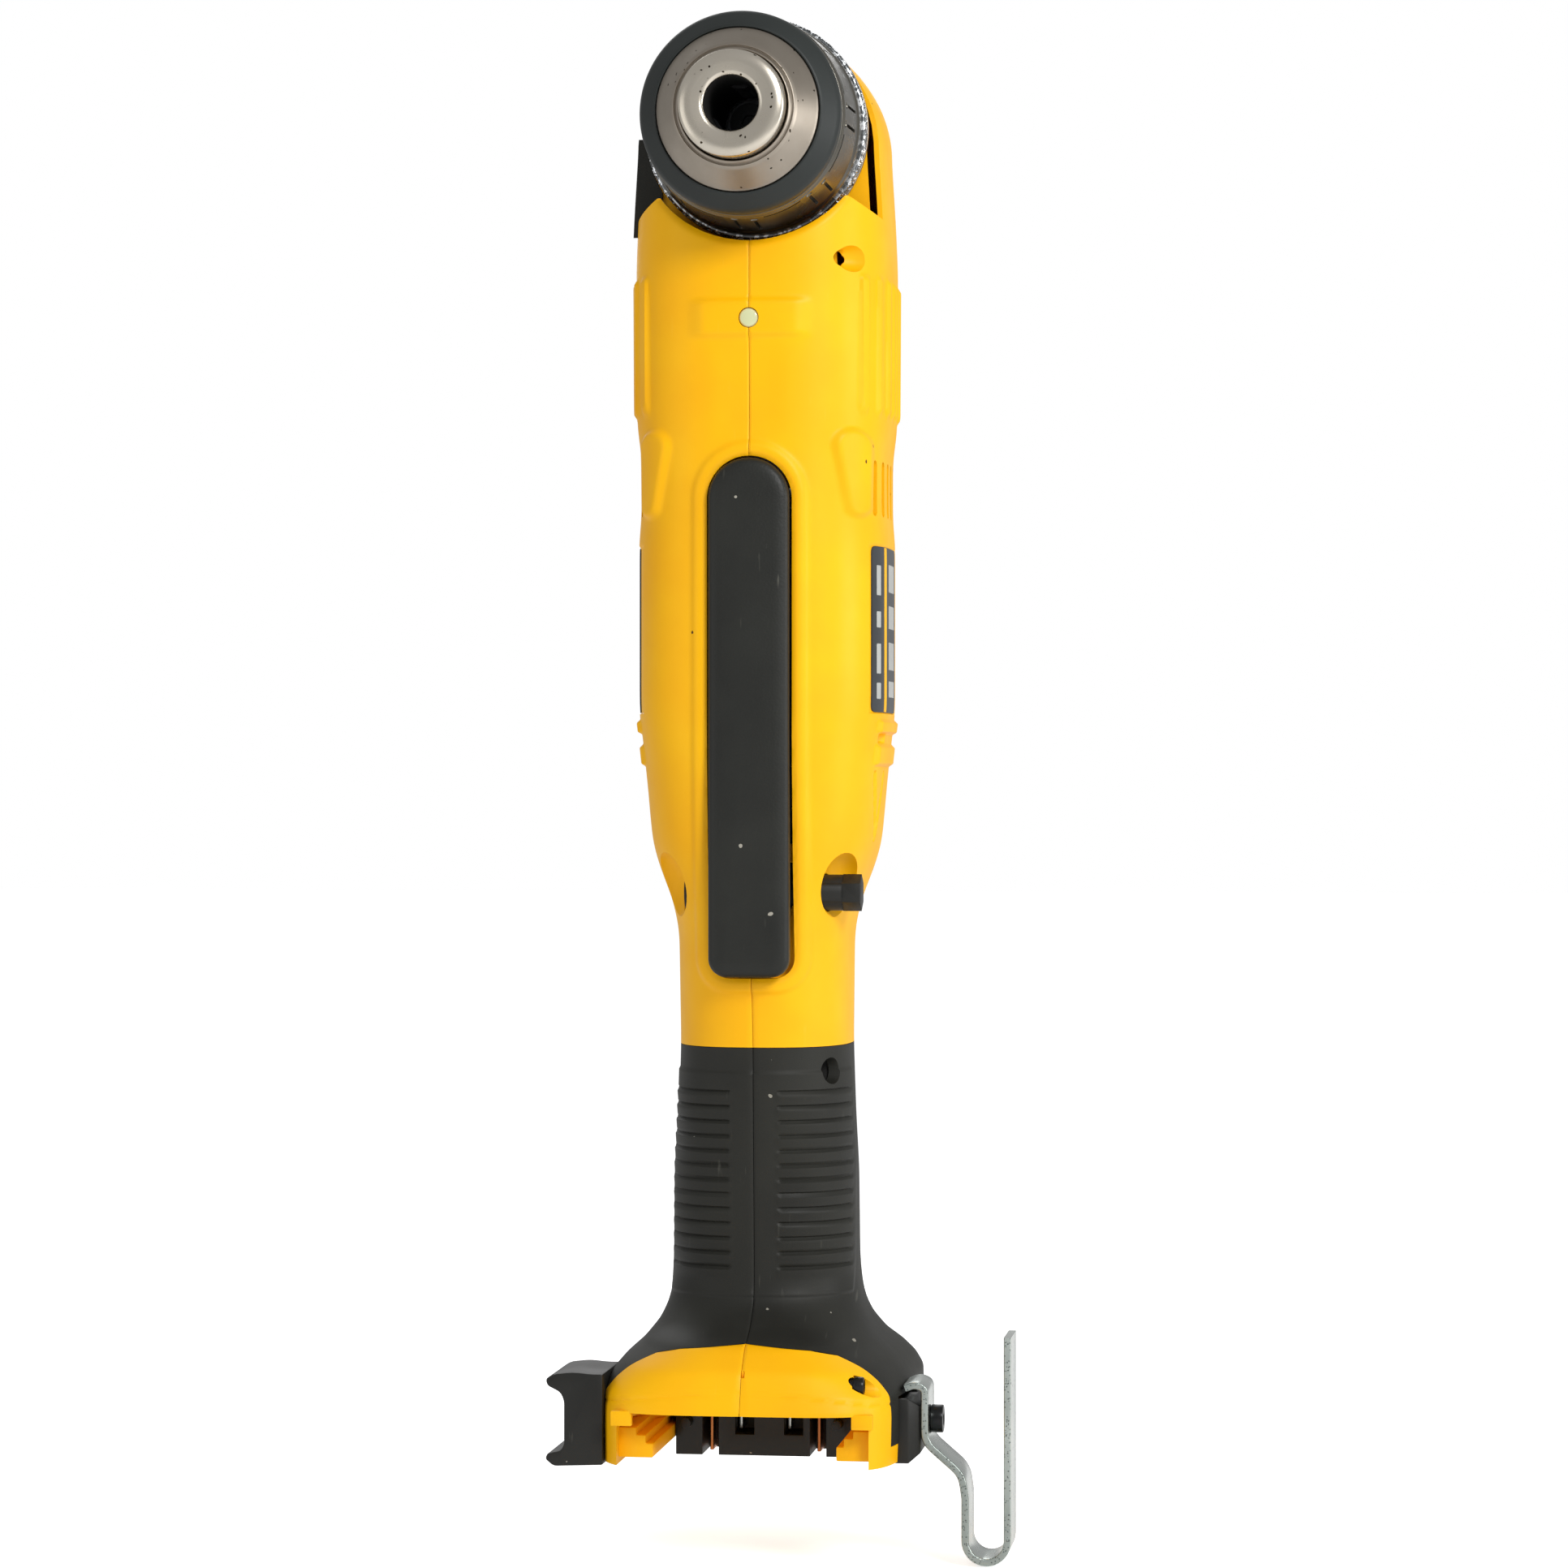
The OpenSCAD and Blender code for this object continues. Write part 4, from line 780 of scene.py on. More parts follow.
def makeSlotTree():  # upright slots with round ends, side by side
    tree, gin, gout = newTree("slotsInRow", [("Count", "Int", 5), ("Pitch", "Float", 0.006),
                                             ("Radius", "Float", 0.0013), ("Length", "Float", 0.0095),
                                             ("Depth", "Float", 0.02), ("Material", "Material", None)])
    step = addNode(tree, "ShaderNodeCombineXYZ", {"Y": gin.outputs["Pitch"]})
    line = addNode(tree, "GeometryNodeMeshLine", {"Count": gin.outputs["Count"], "Offset": step.outputs[0]})
    side = addNode(tree, "GeometryNodeCurvePrimitiveCircle", {"Resolution": 20, "Radius": gin.outputs["Radius"]})
    face = addNode(tree, "GeometryNodeFillCurve", {"Curve": side.outputs[0]}, mode="NGONS")
    spot = addNode(tree, "GeometryNodeInputPosition")
    parts = addNode(tree, "ShaderNodeSeparateXYZ", {"Vector": spot.outputs[0]})
    upper = addNode(tree, "ShaderNodeMath", {0: parts.outputs[0]}, operation="SIGN")
    shift = addNode(tree, "ShaderNodeMath", {0: upper.outputs[0], 1: gin.outputs["Length"]}, operation="MULTIPLY")
    halved = addNode(tree, "ShaderNodeMath", {0: shift.outputs[0], 1: 0.5}, operation="MULTIPLY")
    move = addNode(tree, "ShaderNodeCombineXYZ", {"X": halved.outputs[0]})
    long = addNode(tree, "GeometryNodeSetPosition", {"Geometry": face.outputs[0], "Offset": move.outputs[0]})
    deep = addNode(tree, "GeometryNodeExtrudeMesh", {"Mesh": long.outputs[0],
                                                     "Offset Scale": gin.outputs["Depth"]}, mode="FACES")
    back = addNode(tree, "GeometryNodeFlipFaces", {"Mesh": long.outputs[0]})
    both = addNode(tree, "GeometryNodeJoinGeometry")
    tree.links.new(deep.outputs[0], both.inputs[0])
    tree.links.new(back.outputs[0], both.inputs[0])
    shut = addNode(tree, "GeometryNodeMergeByDistance", {"Geometry": both.outputs[0], "Distance": 1e-6})
    upright = addNode(tree, "GeometryNodeTransform", {"Geometry": shut.outputs[0],
                                                      "Rotation": (0, -math.pi / 2, math.pi)})
    many = addNode(tree, "GeometryNodeInstanceOnPoints", {"Points": line.outputs[0],
                                                          "Instance": upright.outputs[0]})
    finishTree(tree, many.outputs[0], gin, gout)
    return tree


slotTree = makeSlotTree()
# the vent cutters carry the painted gap shade onto the vent walls
ventRow = {"Count": 5, "Pitch": 0.006, "Radius": 0.0013, "Length": 0.0095, "Depth": 0.022,
           "Material": materials["paintedGapShade"]}
ventPlace = {"inside": 16.0, "firstY": -16.0, "z": 209.2}


def ventCutters(side):
    slots = grown("vents", slotTree, ventRow)
    box = np.array([v.co for v in slots.data.vertices])
    low, high = box.min(0) / mm, box.max(0) / mm
    reach = ventPlace["inside"] if side > 0 else -ventPlace["inside"] - (high[0] - low[0])
    move = (reach - low[0], ventPlace["firstY"] - ventRow["Radius"] / mm - low[1],
            ventPlace["z"] - (low[2] + high[2]) / 2)
    return placed(slots, Matrix.Translation([v * mm for v in move]))


def rubberPrisms(grow, name):  # where the rubber lies, before it is cut to its thickness
    zone = block(name, (-60, -60, 4 - grow), (60, 60, grip["top"] + grow))
    lipOutline = [(-50, -1 - grow), (50, -1 - grow), (50, 10 - grow), (34, 13.5 - grow),
                  (31.6, 17.2 - grow), (28.6, 20.4 - grow), (23, 22.6 - grow), (14, 24.4 - grow), (0, 25.6 - grow),
                  (-14, 24.4 - grow), (-23, 22.6 - grow), (-28, 20.4 - grow), (-31.4, 17.2 - grow),
                  (-34, 12.5 - grow), (-50, 10 - grow)]
    carve(zone, prism("lip", lipOutline, "y", -70, foot["lipBack"] - grow))
    top = grip["stripTop"]
    strip = prism("strip", [(4 - grow, 80), (60, 80), (60, top + 10), (24 - grow, top + grow),
                            (14 - grow, top - 7), (8 - grow, 108), (5 - grow, 96)], "x", -60, 60)
    return united(zone, strip)


def ellipsoid(name, centre, half, count=40):
    rings = []
    for i in range(1, count // 2):
        t = math.pi * i / (count // 2)
        z = centre[2] - half[2] * math.cos(t)
        rings.append([(centre[0] + half[0] * math.sin(t) * math.cos(a), centre[1] + half[1] * math.sin(t) *
                       math.sin(a), z) for a in np.linspace(0, 2 * math.pi, count, endpoint=False)])
    return skinned(name, rings)


def screwPocket(spot, side):  # open bore of a screw, round-bottomed at the head
    y, z, seat = spot
    hole = rod("screwHole", "x", y, z, 1.9, -12, 60, 24)
    if side > 0 and y > -20:
        united(hole, rod("screwSeat", "x", y, z, 3.5, seat - 0.1, 60, 48))
    elif side > 0:  # a shallow scoop whose screw sits deeper
        united(hole, rod("screwSeat", "x", y, z, 2.3, seat - 0.1, 60, 48))
        united(hole, ellipsoid("scoop", (seat + 9.5, y, z), (7.0, 3.6, 3.2), 48))
    return hole


def shellTools(side):
    tools = rod("mouthBore", "y", 0, axisHeight, mouth["radius"], -80, mouth["back"], 160)
    horn = prism("horns", [(-60, mouth["hornOut"] - 8), (-29, mouth["hornOut"]), (-20.8, mouth["horn"]),
                           (20.8, mouth["horn"]), (29, mouth["hornOut"]), (60, mouth["hornOut"] - 8), (60, 330),
                           (-60, 330)], "y", -80, mouth["back"])
    united(tools, horn)
    united(tools, prism("slot", slotOutline(paddleShape["gap"]), "y", -60, -22))
    united(tools, ventCutters(side))
    for spot in screwSpots:
        united(tools, screwPocket(spot, side))
    united(tools, rod("buttonBore", "x", -19, 121.5, 4.15, -40, 40, 48))
    united(tools, ellipsoid("pocket", (side * pocket["x"], pocket["y"], pocket["z"]), pocket["half"]))
    united(tools, rod("lampBore", "y", 0, lamp["z"], lamp["radius"], -60, -20, 40))
    channel = block("channel", (-foot["channelHalf"], -60, -5), (foot["channelHalf"], foot["channelBack"],
                                                                 foot["channelTop"]))
    united(tools, channel)
    united(tools, block("roofOpening", (-15.1, -6.1, 11), (15.1, 10.1, 17)))
    united(tools, block("lipSlot", (-0.1, -60, 19.2), (0.75, -42.2, 23.0)))
    united(tools, rod("hingeBore", "x", -26, 208, 1.55, -14, 14, 32))
    if side > 0:
        united(tools, rod("hookBore", "x", -20, 8.2, 2.6, 20, 60, 32))
        united(tools, block("hookSeat", (30.4, -29, -1), (90, -11, 14)))
    else:
        united(tools, rod("holderBore", "x", -27, 9.5, 1.8, -60, -20, 32))
        united(tools, block("holderSeat", (-90, -38.5, -2), (-30.4, -15.5, 18)))
    return tools


def railSolid(side):
    inner = foot["railIn"]
    outline = [(inner, 1.2), (28, 1.2), (28, 7.6), (inner + 3.6, 7.6), (inner + 3.6, 6.0), (inner + 1.6, 6.0),
               (inner + 1.6, 4.2), (inner, 4.2)]
    rail = prism("rail", [(side * u, v) for u, v in outline], "y", -38, 12)
    bevelled(rail, 0.3)
    stop = block("latchNotch", (min(side * 23.5, side * 28), -43.5, 8.6), (max(side * 23.5, side * 28), -41.5, 11.8))
    bevelled(stop, 0.25)
    for ribY in (-30, -20, -10, 0):
        united(rail, block("rib", (min(side * 25.6, side * 28), ribY, 7.0), (max(side * 25.6, side * 28), ribY + 1.2, 12)))
    return united(rail, stop)


def bossesAndWebs(side):
    low, high = (0.05, 13) if side > 0 else (-13, -0.05)
    boss = rod("hingeBoss", "x", -26, 208, 3.4, 9.3 if side > 0 else -13, 13 if side > 0 else -9.3, 32)
    for y, z, seat in screwSpots[:4]:
        low, high = (0.05, seat + 3) if side > 0 else (-seat - 3, -0.05)
        united(boss, rod("boss", "x", y, z, 4.4, low, high, 32))
    return boss


def makeHousing(side):
    label = "right" if side > 0 else "left"
    shell = copied(outer, "housing_shell_" + label)
    zone = rubberPrisms(0.12, "zone")
    carve(zone, solidForm("core", plainRows + domeRows[::4], grip["rubber"]))
    carve(shell, zone)
    cavity = solidForm("cavity", [r for r in plainRows if 13.9 < r < 130], grip["wall"] + grip["rubber"])
    above = [r for r in plainRows if r > 129] + domeRows[::4][:-2]
    united(cavity, solidForm("cavityTop", above, grip["wall"]))
    carve(shell, cavity)
    collar = block("collar", (-60, mouth["back"], 262), (60, mouth["back"] + 1.6, 330))
    carve(collar, rod("collarHole", "y", 0, axisHeight, 22.6, -20, -5, 96))
    carve(collar, solidForm("within", plainRows + domeRows[::4], 1.0), "INTERSECT")
    united(shell, collar)
    bosses = bossesAndWebs(side)
    carve(bosses, solidForm("within", plainRows + domeRows[::4], 1.0), "INTERSECT")
    united(shell, bosses)
    carve(shell, shellTools(side))
    united(shell, railSolid(side))
    half = block("half", (0.045, -90, -20), (90, 90, 330)) if side > 0 else block("half", (-90, -90, -20),
                                                                                 (-0.045, 90, 330))
    carve(shell, half, "INTERSECT")
    settle(shell, "drill_body", "yellow_nylon", "yellowNylon", "housing_" + label)
    # painted shade: faces inside the screw hole on the right of the grip are turned near black
    paintFaces(shell, "paintedGapShade", lambda c: c[0] > 9 and math.hypot(c[1] + 15.5, c[2] - 82.7) < 4.2)
    return shell


def makeGrip(side):
    label = "right" if side > 0 else "left"
    skin = copied(outer, "grip_rubber_" + label)
    carve(skin, rubberPrisms(0.0, "zone"), "INTERSECT")
    carve(skin, solidForm("core", plainRows + domeRows[::4], grip["rubber"] - 0.02))
    tools = rod("oval", "x", -15.5, 82.7, 2.9 if side > 0 else 1.5, 8 if side > 0 else -12, 60 if side > 0 else -8, 40)
    united(tools, rod("screwHole", "x", 15, 56, 3.4, 10 if side > 0 else -12, 60 if side > 0 else -8, 40))
    if side > 0:
        united(tools, block("hookSeat", (30.4, -29, -1), (90, -11, 14)))
    else:
        united(tools, block("holderSeat", (-90, -38.5, -2), (-30.4, -15.5, 18)))
    carve(skin, tools)
    half = block("half", (0.06, -90, -20), (90, 90, 330)) if side > 0 else block("half", (-90, -90, -20),
                                                                                (-0.06, 90, 330))
    carve(skin, half, "INTERSECT")
    return settle(skin, "drill_body", "grip_rubber", "gripRubber", "grip_" + label)


for side in (-1, 1):
    makeHousing(side)
    makeGrip(side)
drop(outer)
print("housings and grips")

# ---- trigger, labels and head pad ----
def makePaddle():
    levels = [(0.25, -29.2), (0.0, -29.5), (0.0, -31.2)]
    levels += [(1.9 - 1.9 * math.cos(math.radians(a)), -31.2 - 1.75 * math.sin(math.radians(a)))
               for a in range(12, 79, 11)]
    levels += [(1.8, -33.0), (2.5, -33.12), (3.4, -33.2)]
    rings = [[(x, y, z) for x, z in slotOutline(-inset)] for inset, y in levels]
    paddle = skinned("trigger_paddle", rings, 50)
    for s in (-1, 1):
        ear = block("ear", (s * 6.4 - 1.2, -31, 200), (s * 6.4 + 1.2, -22.3, 210))
        united(paddle, carve(bevelled(ear, 0.5), rod("pinHole", "x", -26, 208, 1.57, -12, 12, 32)))
    united(paddle, bevelled(block("presser", (-4, -31, 127), (4, -26.4, 135)), 0.4))
    paddle.data.shade_smooth()
    paddle.data.set_sharp_from_angle(angle=math.radians(44))
    return settle(paddle, "paddle", "black_nylon", "paddleBlack", "paddle")


def roundedPatch(y0, y1, z0, z1, radius):
    return filleted([(y0, z0, radius), (y1, z0, radius), (y1, z1, radius), (y0, z1, radius)])


formRows = rowsOf([(140, 283.8, 1.6)]) + domeRows[::2][:-4]


# A thin plate that follows the flank between two depths below the body's surface
def flankPatch(name, side, outlines, top, bottom):
    low, high = (6, 60) if side > 0 else (-60, -6)
    plate = None
    for outline in outlines:
        patch = prism(name, outline, "x", low, high)
        plate = patch if plate is None else united(plate, patch)
    carve(plate, solidForm("upper", formRows, top, count=60), "INTERSECT")
    carve(plate, solidForm("lower", formRows, bottom, count=60))
    return plate


labelLooks = {
    -1: {"box": (-13, 10), "bars": [(-10.5, -7.5, 164, 193), (-5, -3.6, 164, 176), (-5, -3.6, 179, 190),
                                    (-1.5, -0.3, 164, 186), (1.8, 3.0, 164, 190), (5.0, 6.2, 164, 172)],
         "stripe": None},
    1: {"box": (-18, 8), "bars": [(-15.9, -13.4, 163.5, 167), (-15.9, -13.4, 169, 175.5), (-15.9, -13.4, 179, 182.5),
                                  (-15.9, -13.4, 186, 192.5), (-5.5, 4.5, 164, 167.5), (-5.5, 4.5, 170, 176),
                                  (-5.5, 4.5, 179, 184), (-5.5, 4.5, 187, 193)],
        "stripe": (-10.6, -8.2, 160.7, 196.5)},
}


def makeLabel(side):
    look = labelLooks[side]
    label = "right" if side > 0 else "left"
    y0, y1 = look["box"]
    plate = flankPatch("label_plate_" + label, side, [roundedPatch(y0, y1, 160.6, 196.6, 1.6)], 0.12, 0.5)
    settle(bevelled(plate, 0.08), "drill_body", "label_black", "labelFilm", "label_" + label)
    bars = [roundedPatch(a, b, c, d, 0.3) for a, b, c, d in look["bars"]]
    settle(flankPatch("label_bars_" + label, side, bars, 0.09, 0.14), "drill_body", "label_black", "labelPale")
    if look["stripe"]:
        stripe = [roundedPatch(*look["stripe"], 0.2)]
        settle(flankPatch("label_stripe_" + label, side, stripe, 0.09, 0.14), "drill_body", "yellow_nylon",
               "yellowNylon")


# a thin dark patch over the left side of the head and the left of its front, in the grip rubber finish
def makeHeadPad():
    pad = flankPatch("head_left_dark_patch", -1, [roundedPatch(-13.95, 8, 267, 285, 2.0)], -0.9, 0.05)
    front = block("padFront", (-40, -13.95, 264.6), (-21.5, mouth["back"] - 0.02, 286))
    carve(front, solidForm("upper", formRows, -0.9, count=60), "INTERSECT")
    united(pad, front)
    carve(pad, rod("chuckRoom", "y", 0, axisHeight, 24.9, -20, -5, 96))
    return settle(pad, "drill_body", "grip_rubber", "gripRubber", "head_pad")


makePaddle()
for side in (-1, 1):
    makeLabel(side)
makeHeadPad()
print("trigger, labels and pad")

# ---- chuck ----
chuckShape = {
    "nose": [(5.75, 26, 0), (18.9, 26, 0), (18.9, 35.8, 0.3), (16.3, 36.2, 0), (16.3, 46.6, 0.4), (11.35, 47.2, 0.5),
             (11.35, 56.6, 0), (11.3, 58.6, 1.9), (9.3, 59.35, 1.2), (6.4, 58.95, 0.4), (5.75, 58.4, 0.4)],
    "rearCap": [(19.1, 14.5, 0.2), (23.4, 14.5, 0.9), (24.2, 15.4, 0.8), (24.2, 16.9, 0.2), (19.1, 16.9, 0.2)],
    "sleeve": [(19.35, 17.3, 0), (22.2, 17.3, 0), (22.2, 21.1, 0), (23.3, 21.1, 0.35), (23.15, 24.5, 0.5),
               (22.75, 25.2, 0.5), (21.9, 40.2, 0.5), (21.6, 40.6, 0.2), (21.5, 41.4, 0.2), (19.35, 41.4, 0)],
    "gritRing": [(22.25, 17.4, 0), (24.0, 17.4, 0.2), (24.0, 20.9, 0.5), (22.25, 20.9, 0)],
    "rim": [(17.4, 41.5, 0), (21.4, 41.5, 0.2), (21.5, 44.9, 0.5), (20.9, 46.0, 0.5), (18.0, 48.7, 0.4),
            (17.55, 48.8, 0.2), (17.4, 48.4, 0.2), (17.4, 44, 0)],
    "cone": [(16.7, 43.5, 0), (17.33, 43.5, 0), (17.33, 48.7, 0.3), (16.9, 49.2, 0.4), (13.4, 54.0, 0.3),
             (12.75, 54.6, 0.25), (12.5, 54.3, 0.2), (12.1, 54.9, 0.2), (11.8, 55.2, 0.2), (11.55, 54.8, 0.1),
             (11.55, 52.0, 0), (16.0, 47.5, 0)],
    # a ring of painted shade that fills the gap behind the cone
    "shadeRing": [(11.5, 47.4, 0), (16.0, 47.4, 0), (15.6, 48.4, 0), (11.5, 52.2, 0)],
}


def makeGrooveTree():  # the pattern sunk in the sleeve, repeated round it
    tree, gin, gout = newTree("grooveGroups", [("Count", "Int", 8), ("Radius", "Float", 0.0224),
                                               ("Length", "Float", 0.0095), ("Width", "Float", 0.0007),
                                               ("Gap", "Float", 0.0042), ("Material", "Material", None)])
    line = addNode(tree, "GeometryNodeMeshLine", {"Count": gin.outputs["Count"], "Offset": (0, 0, 0)})
    half = addNode(tree, "ShaderNodeMath", {0: gin.outputs["Gap"], 1: 0.5}, operation="MULTIPLY")
    minus = addNode(tree, "ShaderNodeMath", {0: half.outputs[0], 1: -1.0}, operation="MULTIPLY")
    join = addNode(tree, "GeometryNodeJoinGeometry")
    size = addNode(tree, "ShaderNodeCombineXYZ", {"X": 0.0022, "Y": gin.outputs["Width"],
                                                  "Z": gin.outputs["Length"]})
    bar = addNode(tree, "GeometryNodeMeshCube", {"Size": size.outputs[0]})
    dot = addNode(tree, "GeometryNodeMeshIcoSphere", {"Radius": 0.0009, "Subdivisions": 2})
    wide = addNode(tree, "ShaderNodeCombineXYZ", {"X": 0.0022, "Y": 0.0086, "Z": 0.0008})
    cross = addNode(tree, "GeometryNodeMeshCube", {"Size": wide.outputs[0]})
    for shift, low in ((half, 0.0), (minus, 0.0022)):
        spot = addNode(tree, "ShaderNodeCombineXYZ", {"X": gin.outputs["Radius"], "Y": shift.outputs[0],
                                                      "Z": 0.0315 + low * 0.5})
        one = addNode(tree, "GeometryNodeTransform", {"Geometry": bar.outputs[0], "Translation": spot.outputs[0]})
        tree.links.new(one.outputs[0], join.inputs[0])
        tip = addNode(tree, "ShaderNodeCombineXYZ", {"X": 0.0221, "Y": shift.outputs[0],
                                                     "Z": 0.0378 + low * 0.5})
        two = addNode(tree, "GeometryNodeTransform", {"Geometry": dot.outputs[0], "Translation": tip.outputs[0]})
        tree.links.new(two.outputs[0], join.inputs[0])
    side = addNode(tree, "ShaderNodeVectorRotate", {"Vector": (0.0221, 0, 0.0391), "Axis": (0, 0, 1),
                                                    "Angle": math.radians(22.5)}, rotation_type="AXIS_ANGLE")
    low = addNode(tree, "GeometryNodeTransform", {"Geometry": cross.outputs[0], "Translation": side.outputs[0],
                                                  "Rotation": (0, 0, math.radians(22.5))})
    tree.links.new(low.outputs[0], join.inputs[0])
    index = addNode(tree, "GeometryNodeInputIndex")
    step = addNode(tree, "ShaderNodeMath", {0: 2 * math.pi, 1: gin.outputs["Count"]}, operation="DIVIDE")
    turn = addNode(tree, "ShaderNodeMath", {0: index.outputs[0], 1: step.outputs[0]}, operation="MULTIPLY")
    spin = addNode(tree, "ShaderNodeCombineXYZ", {"Z": turn.outputs[0]})
    many = addNode(tree, "GeometryNodeInstanceOnPoints", {"Points": line.outputs[0], "Instance": join.outputs[0],
                                                          "Rotation": spin.outputs[0]})
    finishTree(tree, many.outputs[0], gin, gout)
    return tree


def makeGrainTree():  # hard grains scattered over a band
    tree, gin, gout = newTree("gritGrains", [("Radius", "Float", 0.024), ("Depth", "Float", 0.0034),
                                             ("Density", "Float", 6.5e6), ("Grain", "Float", 0.00017),
                                             ("Seed", "Int", 5), ("Material", "Material", None)])
    tube = addNode(tree, "GeometryNodeMeshCylinder", {"Vertices": 128, "Radius": gin.outputs["Radius"],
                                                      "Depth": gin.outputs["Depth"]}, fill_type="NONE")
    spread = addNode(tree, "GeometryNodeDistributePointsOnFaces", {"Mesh": tube.outputs[0],
                                                                   "Density": gin.outputs["Density"],
                                                                   "Seed": gin.outputs["Seed"]})
    grain = addNode(tree, "GeometryNodeMeshIcoSphere", {"Radius": gin.outputs["Grain"], "Subdivisions": 1})
    turn = addNode(tree, "FunctionNodeRandomValue", {0: (0, 0, 0), 1: (6.28, 6.28, 6.28), "Seed": 3},
                   data_type="FLOAT_VECTOR")
    size = addNode(tree, "FunctionNodeRandomValue", {2: 0.6, 3: 1.35, "Seed": 8}, data_type="FLOAT")
    many = addNode(tree, "GeometryNodeInstanceOnPoints", {"Points": spread.outputs[0],
                                                          "Instance": grain.outputs[0],
                                                          "Rotation": turn.outputs[0], "Scale": size.outputs[1]})
    finishTree(tree, many.outputs[0], gin, gout)
    return tree


def makeChuck():
    nose = turned("chuck_nose", chuckShape["nose"], 192, 24)
    settle(nose, "spindle_unit", "bright_nose", "brightNose", "chuck_body")
    # painted shade: the faces inside the nose's bore are turned near black
    paintFaces(nose, "paintedGapShade", lambda c: math.hypot(c[0], c[2] - axisHeight) < 6.2 and c[1] > -56)
    # a near-black ring in the gap between cone and nose: painted shade
    settle(turned("chuck_shade_ring", chuckShape["shadeRing"], 96), "spindle_unit", "bright_nose", "paintedGapShade")
    settle(turned("rear_ring", chuckShape["rearCap"], 160, 24), "spindle_unit", "satin_steel", "satinSteel",
           "chuck_rear_cap")
    sleeve = turned("grip_sleeve", chuckShape["sleeve"], 192, 24)
    # the groove cutters carry the painted gap shade onto the groove walls
    grooves = grown("grooves", makeGrooveTree(), {"Count": 8, "Radius": 0.0224, "Length": 0.0095,
                                                  "Width": 0.0007, "Gap": 0.0042,
                                                  "Material": materials["paintedGapShade"]})
    carve(sleeve, placed(grooves, forwardPlace()))
    settle(sleeve, "sleeve_unit", "sleeve_grey", "sleeveGrey", "chuck_sleeve")
    settle(turned("grit_ring", chuckShape["gritRing"], 160, 24), "sleeve_unit", "carbide_grit", "carbideGrit",
           "grip_band")
    grains = grown("grit_grains", makeGrainTree(), {"Radius": 0.024, "Depth": 0.0034, "Density": 6.5e6,
                                                    "Grain": 0.00017, "Seed": 5,
                                                    "Material": materials["carbideGrit"]}, sharp=10)
    placed(grains, forwardPlace(19.15))
    settle(grains, "sleeve_unit", "carbide_grit", None)
    print("grains", len(grains.data.polygons))
    settle(turned("sleeve_bumper", chuckShape["rim"], 192, 24), "sleeve_unit", "black_nylon", "rimRubber",
           "sleeve_rim")
    settle(turned("front_cone", chuckShape["cone"], 192, 20), "sleeve_unit", "satin_steel", "satinSteel",
           "sleeve_cone")


makeChuck()
print("chuck")


# ---- foot fittings ----
# A merged copy of a CAD node with its edges broken
def softened(name, node, width, drop=0.0):
    piece = copied(frame["nodes"][node], name)
    piece.data.transform(frame["nodes"][node].matrix_world)
    work = bmesh.new()
    work.from_mesh(piece.data)
    bmesh.ops.remove_doubles(work, verts=work.verts, dist=1e-6)
    bmesh.ops.dissolve_limit(work, angle_limit=math.radians(1), verts=work.verts, edges=work.edges)
    bmesh.ops.recalc_face_normals(work, faces=work.faces)
    for vert in work.verts:
        if vert.co.z < 0:
            vert.co.z -= drop * mm
    work.to_mesh(piece.data)
    work.free()
    return bevelled(piece, width)


def makeStrapTree():  # a flat strap with rounded corners along a path
    tree, gin, gout = newTree("strapAlongPath", [("Width", "Float", 0.014), ("Thickness", "Float", 0.0016),
                                                 ("Corner", "Float", 0.00035), ("Material", "Material", None)])
    flat = addNode(tree, "GeometryNodeSetCurveNormal", {"Curve": gin.outputs["Geometry"]}, mode="Z_UP")
    side = addNode(tree, "GeometryNodeCurvePrimitiveQuadrilateral", {"Width": gin.outputs["Thickness"],
                                                                     "Height": gin.outputs["Width"]})
    corner = addNode(tree, "GeometryNodeFilletCurve", {"Curve": side.outputs[0],
                                                       "Radius": gin.outputs["Corner"], "Count": 4},
                     mode="POLY")
    strap = addNode(tree, "GeometryNodeCurveToMesh", {"Curve": flat.outputs[0],
                                                      "Profile Curve": corner.outputs[0], "Fill Caps": True})
    finishTree(tree, strap.outputs[0], gin, gout)
    return tree


hookShape = {
    "bends": [(33.2, 15.4, 0), (35.3, 16.2, 2.0), (37.4, 15.4, 2.0), (37.4, 4.0, 2.4), (45.4, -2.9, 3.0),
              (46.1, -8, 0)],
    "legX": 46.1, "armX": 55.2, "bendZ": -17.0, "top": 26.6, "middleY": -20.0,
}


def hookPath():
    shape = hookShape
    path = filleted(shape["bends"], 6)
    centre = (shape["legX"] + shape["armX"]) / 2
    radius = (shape["armX"] - shape["legX"]) / 2
    path += [(shape["legX"], z) for z in (-12, shape["bendZ"] + 0.5)]
    path += circlePoints(centre, shape["bendZ"], radius, 18, 180, 180)
    path += [(shape["armX"], z) for z in (-12, -2, 8, 17, shape["top"])]
    return path


def makeBeltHook():
    line = curvePiece("hookPath", [(u, v, 0) for u, v in hookPath()])
    hook = grown("belt_strap", makeStrapTree(), {"Width": 0.014, "Thickness": 0.0016, "Corner": 0.00035,
                                                 "Material": materials["zincPlate"]}, line, 40)
    turn = Matrix.Translation((0, hookShape["middleY"] * mm, 0)) @ Matrix.Rotation(math.pi / 2, 4, "X")
    placed(hook, turn)
    dressed(hook, 40)
    carve(hook, rod("hookHole", "x", -20, 8.2, 2.15, 30, 42, 40))
    settle(hook, "drill_body", "zinc_plate", "zincPlate", "belt_hook")
    edge = hookShape["middleY"]
    paintFaces(hook, "shearedEdge", lambda c: abs(c[1] - edge) > 6.9)


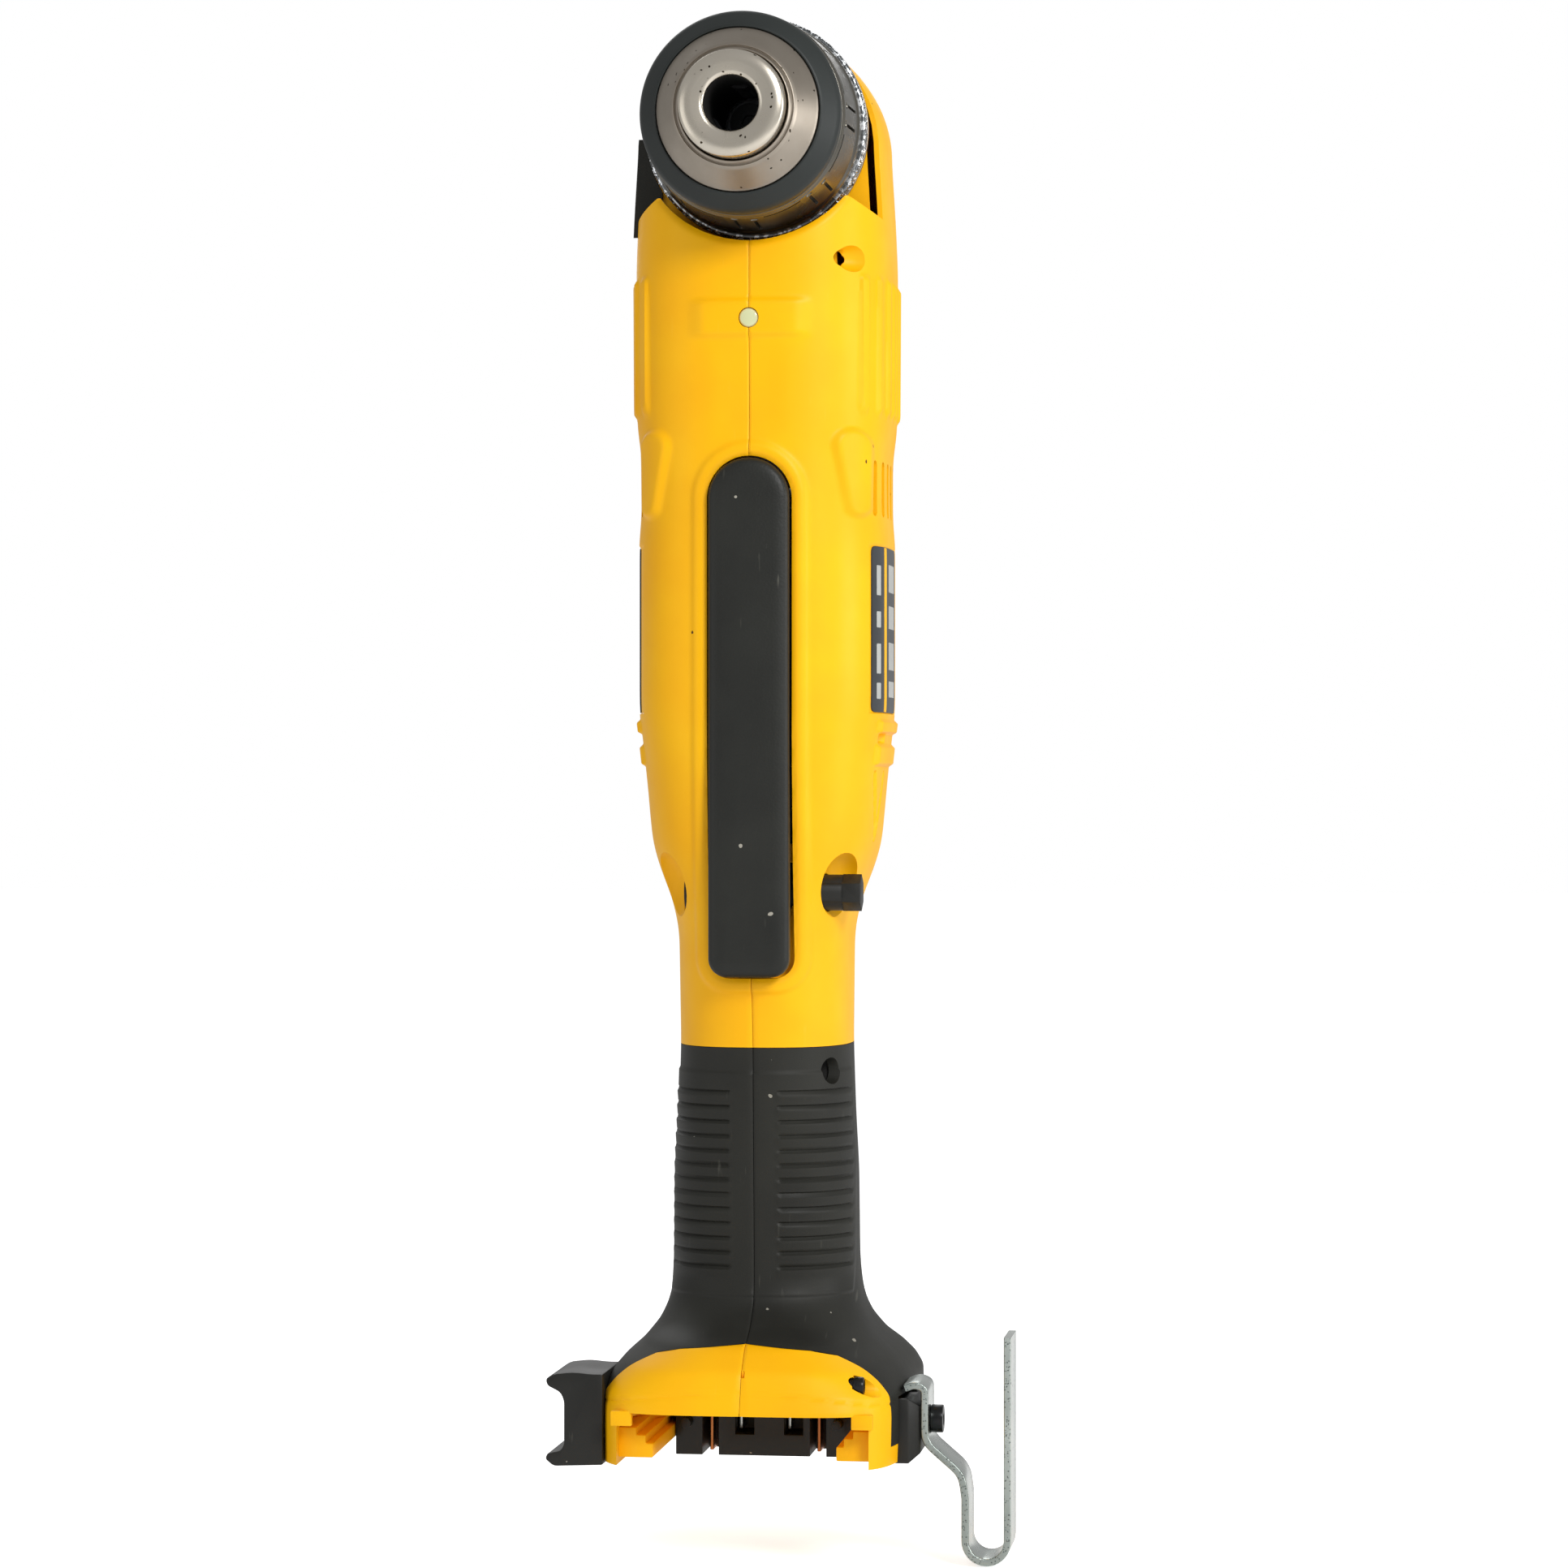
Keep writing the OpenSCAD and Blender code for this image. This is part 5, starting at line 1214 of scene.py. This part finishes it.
def makeBitHolder():
    corners = [(-30.6, -0.6, 0), (-41.3, -1.0, 0.8), (-43.1, 0.5, 0.7), (-42.6, 1.7, 0.5), (-39.6, 2.4, 1.2),
               (-39.0, 3.8, 1.0), (-39.0, 13.0, 1.6), (-39.8, 14.8, 1.2), (-42.6, 16.2, 0.6), (-43.0, 17.6, 0.7),
               (-41.3, 18.7, 1.2), (-37.0, 19.2, 3.0), (-33.2, 18.8, 1.5), (-30.6, 18.8, 0)]
    holder = prism("bit_clip", filleted(corners), "y", -38, -16)
    bevelled(holder, 0.35)
    tools = rod("screwHole", "x", -27, 9.5, 1.8, -45, -30, 32)
    united(tools, rod("screwSeat", "x", -27, 9.5, 3.3, -45, -36.4, 40))
    carve(holder, tools)
    settle(holder, "drill_body", "black_nylon", "blackNylon", "bit_holder")


def makeScrews():  # heads with a hexagonal socket, set in the right half
    whole = None
    for y, z, seat in screwSpots:
        deep = seat
        head = rod("housing_bolts", "x", y, z, 3.1 if y > -20 else 2.0, deep, deep + 2.3, 48)
        bevelled(head, 0.45)
        carve(head, rod("socket", "x", y, z, 1.5, deep + 0.9, deep + 4, 6))
        united(head, rod("shank", "x", y, z, 1.5, -8.5, deep + 0.4, 24))
        whole = head if whole is None else united(whole, head)
    settle(whole, "drill_body", "black_oxide", "blackOxide", "housing_screws")


def makeLens():
    lens = rod("lamp_lens", "y", 0, lamp["z"], 2.1, -31.5, -25, 48)
    bevelled(lens, 0.6, 4, 50)
    settle(lens, "drill_body", "lens_clear", "lampLens", "led_lens")


softPieces = [
    ("terminal_housing", "terminal_block", 0.18, "drill_body", "black_nylon", "blackNylon"),
    ("power_contacts", "power_blades", 0.15, "drill_body", "copper", "copperBlade"),
    ("signal_contacts", "signal_blades", 0.15, "drill_body", "tin_plate", "tinPlate"),
    ("hook_mount", "hook_boss", 0.35, "drill_body", "black_nylon", "blackNylon"),
    ("hook_bolt", "belt_hook_screw", 0.35, "drill_body", "black_oxide", "blackOxide"),
    ("clip_bolt", "bit_holder_screw", 0.25, "drill_body", "black_oxide", "blackOxide"),
    ("reversing_button", "reverse_button", 0.4, "reverse_button", "black_nylon", "blackNylon"),
]
makeBeltHook()
makeBitHolder()
makeScrews()
makeLens()
for name, node, width, body, slot, finish in softPieces:
    lower = 1.4 if node in ("terminal_block", "power_blades") else 0.0
    settle(softened(name, node, width, lower), body, slot, finish, node)
print("foot fittings")

# ---- inner pieces keep their CAD shapes and get a finish ----
innerFinishes = {
    "castAluminium": ["gear_case", "gearbox_plate", "heat_sink"],
    "gearSteel": ["ring_gear", "bevel_gear", "bevel_pinion", "sun_gear", "planet_1", "planet_2", "planet_3",
                  "planet_carrier", "chuck_nut"],
    "blackOxide": ["chuck_screw", "jaw_1", "jaw_2", "jaw_3"],
    "bearingSteel": ["motor_bearings", "spindle_bearings", "pinion_bearing", "spindle", "motor_shaft",
                     "hinge_pin", "trigger_spring", "motor_can"],
    "ferrite": ["motor_magnets"],
    "blackNylon": ["motor_end_cap", "switch_body", "fan"],
    "graphite": ["brushes"],
    "boardGreen": ["control_board"],
    "wireRed": ["leads"],
    "copperWinding": ["armature"],
    "copperBlade": ["commutator"],
    "plungerRed": ["switch_plunger"],
}
for finish, names in innerFinishes.items():
    for name in names:
        coat(frame["nodes"][name], finish)
print("inner pieces")
